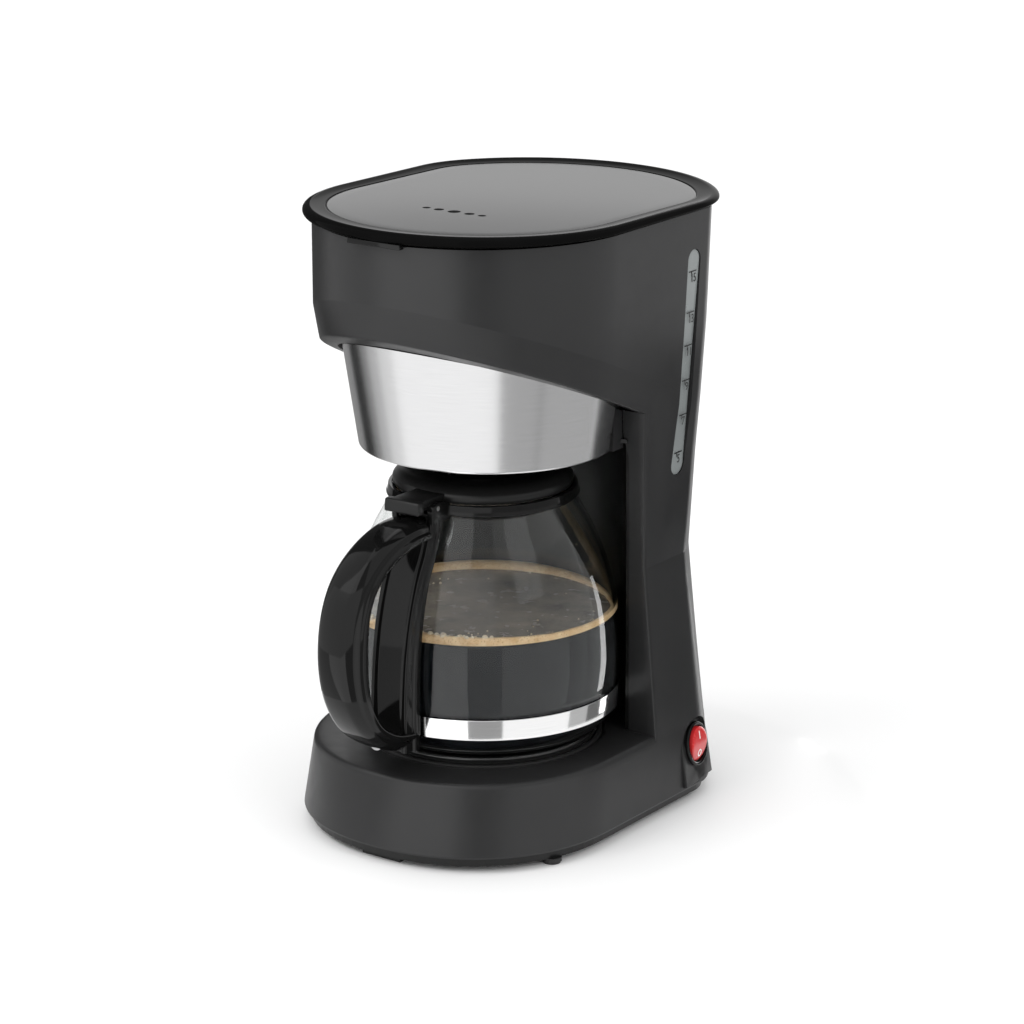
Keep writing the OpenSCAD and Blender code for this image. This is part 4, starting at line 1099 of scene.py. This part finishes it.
def pour_lid():
    """Carafe lid: a raised round rim, a well with drip holes, a hinge barrel and a thumb tab."""
    z = LID_SEAT_Z
    cap = rounded([(0, z + 1, 0), (25, z + 1, .4), (25, z + 0.05, .3), (46.2, z + 0.05, .5), (46.9, z + 3.6, 1.8),
                   (42.4, z + 8.4, 3.4), (33.6, z + 9.2, 3), (28, z + 8.4, 2.4), (24.6, z + 3.5, 1.5),
                   (0, z + 3.3, 0)], closed=False, steps=6)
    obj = make_object("carafe_cap", revolve(cap, CARAFE_Y, closed=False))
    holes = [(x, y, 1.6) for x, y in circle(16, 8, y=CARAFE_Y)] + [(0, CARAFE_Y, 3)]
    cut(obj, merge(*[rod(x, y, r, z - 3, z + 7, 24) for x, y, r in holes]))
    add_piece(obj, "pour_lid", "matte_black", replaces=["carafe_lid"], sharp=40)
    arm = rounded([(-71, z + 0.9, .8), (-44, z + 0.9, .5), (-44, z + 4.6, 1), (-71, z + 4.8, 1)])
    bevelled("thumb_arm", prism(arm, -8.8, 8.8), "pour_lid", "matte_black", 0.6)
    front = node_box("carafe_lid")[0].y
    tab = rounded([(front + 0.2, z - 1.4, 1), (-69.8, z - 1.4, .8), (-69.8, z + 5.2, 1),
                   (front + 0.9, z + 5.2, 1.2)])
    bevelled("thumb_tab", prism(tab, -10.5, 10.5), "pour_lid", "matte_black", 0.8)
    barrel = circle(2.5, 32, CARAFE_HINGE_Y, CARAFE_HINGE_Z)
    bevelled("hinge_barrel", prism(barrel, -8.9, 8.9), "pour_lid", "matte_black", 0.4)


# ---- pieces shown as in the CAD ----
SLOT_NODES = {
    "matte_black": ["bottom_plate", "column_cover", "water_spout", "drip_valve", "lid_liner"],
    "rubber": ["rubber_feet", "cord_gland"],
    "screw_steel": ["bottom_screws", "housing_screws", "hose_clamps", "element_clamp", "hinge_pin", "drip_spring",
                    "handle_screws", "carafe_hinge_pin"],
    "tank_plastic": ["water_tank"],
    "charcoal_plastic": ["brew_funnel"],
    "silicone": ["riser_hose", "cold_water_hose", "valve_seal"],
    "valve_orange": ["check_valve"],
    "element_alu": ["heating_element"],
    "ceramic_white": ["thermostat", "thermal_fuses", "terminal_block"],
    "brass": ["switch_terminals"],
    "wire_blue": ["wire_harness"],
    "gloss_black": ["filter_basket"],
    "filter_gold": ["mesh_filter"],
}


def dress_cad_nodes():
    for slot, names in SLOT_NODES.items():
        for name in names:
            paint(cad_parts[name], slot)


# ---- studio ----
AIM = Vector((-2.0, 22.9, 154.4))
CAMERA_AZIMUTH = 35.42
CAMERA_ELEVATION = 16.48
CAMERA_DISTANCE = 1898
CAMERA_LENS = 127.9
LIGHT_AIM = Vector((0, 0, 160))


def direction(azimuth, elevation):
    """Unit vector at an azimuth from the front, turning towards +X, and an elevation."""
    a, e = radians(azimuth), radians(elevation)
    return Vector((sin(a) * cos(e), -cos(a) * cos(e), sin(e)))


def look_at(obj, target):
    obj.rotation_euler = (target - obj.location).to_track_quat("-Z", "Y").to_euler()


def camera():
    data = bpy.data.cameras.new("camera")
    data.lens, data.sensor_width = CAMERA_LENS, 36
    data.clip_end = 100
    obj = new_object("camera", data)
    obj.location = (AIM + direction(CAMERA_AZIMUTH, CAMERA_ELEVATION) * CAMERA_DISTANCE) * MM
    look_at(obj, AIM * MM)
    bpy.context.scene.camera = obj


def softbox(name, azimuth, elevation, distance, width, height, watts):
    data = bpy.data.lights.new(name, "AREA")
    data.shape, data.size, data.size_y, data.energy = "RECTANGLE", width * MM, height * MM, watts
    obj = new_object(name, data)
    obj.location = (LIGHT_AIM + direction(azimuth, elevation) * distance) * MM
    look_at(obj, LIGHT_AIM * MM)
    obj.visible_camera = False


def card(name, start, end, radius, bottom, top, brightness):
    """A curved studio reflector that only shows in reflections: from one azimuth to another off the camera."""
    ways = [direction(CAMERA_AZIMUTH + mix(start, end, k / 12), 0) * radius for k in range(13)]
    obj = make_object(name, loft([[(way.x, way.y, z) for way in ways] for z in (bottom, top)], closed=False))
    Surface(name, Base_Color=(0, 0, 0, 1), Specular_IOR_Level=0, Emission_Color=(1, 1, 1, 1),
            Emission_Strength=brightness)
    paint(obj, name)
    obj.visible_camera = obj.visible_diffuse = obj.visible_shadow = obj.visible_transmission = False
    return obj


# Reflectors round the machine: {(bottom, top): [start, end, brightness]}, as azimuths off the camera. The upright
# glass of the carafe sees the low ones, the leaning steel band the middle ones, and the lid the high ones.
CARD_R = 200
CARDS = {
    (0, 100): [[-150, -110, 0.1], [-110, -48, 0.75], [-48, -11, 1.7], [-11, 12, 0.35], [12, 62, 1.05],
               [62, 80, 0.5], [80, 102, 0.15], [102, 113, 0.5], [113, 121, 4.5], [121, 210, 0.7]],
    (100, 225): [[-150, -122, 0.3], [-122, -104, 0.01], [-104, -94, 0.25], [-94, -82, 0.55], [-82, -68, 0.85],
                 [-68, 8, 1.15], [8, 36, 0.47], [36, 39, 0.32], [39, 89, 0.48], [91, 108, 0.04], [108, 210, 0.9]],
    (225, 700): [[-150, -104, 0.1], [-104, -57, 0.8], [-57, -11, 1.7], [-11, 10, 0.3], [10, 108, 0.8]],
    (225, 362): [[108, 210, 1.0]],
    (362, 386): [[108, 210, 0.7]],
    (386, 700): [[108, 210, 0.36]],
}


def studio():
    world = bpy.data.worlds.new("studio")
    bpy.context.scene.world = world
    world.use_nodes = True
    background = world.node_tree.nodes["Background"]
    background.inputs["Color"].default_value = (1, 1, 1, 1)
    background.inputs["Strength"].default_value = 1.12
    size = 9000
    floor = make_object("floor", loft([[(-size, y, 0), (size, y, 0)] for y in (-size, size)], closed=False))
    s = Surface("floor", Roughness=0.7)
    s.drift(s.noise(2), (0.90, 0.90, 0.90, 1), (0.92, 0.92, 0.92, 1))
    paint(floor, "floor")
    softbox("key", -25, 48, 1900, 1100, 900, 12)
    softbox("fill", 80, 30, 2000, 900, 1300, 5)
    places = [(start, end, CARD_R, bottom, top, brightness) for (bottom, top), row in CARDS.items()
              for start, end, brightness in row]
    for number, place in enumerate(places):
        card("card_%02d" % number, *place)
    glint = card("card_glint", 97, 115, CARD_R - 1, 5, 145, 5)
    receivers = bpy.data.collections.new("glint_receivers")
    for name in ("glass_bowl", "carafe_hoop"):
        receivers.objects.link(bpy.data.objects[name])
    glint.light_linking.receiver_collection = receivers
    bpy.context.scene.view_settings.view_transform = "Standard"


upper_shell()
level_window()
level_marks()
base_shell()
switch_pieces()
steel_band()
lid_pieces()
plate_pieces()
carafe_glass()
coffee()
carafe_fittings()
handle_pieces()
pour_lid()
dress_cad_nodes()
camera()
studio()
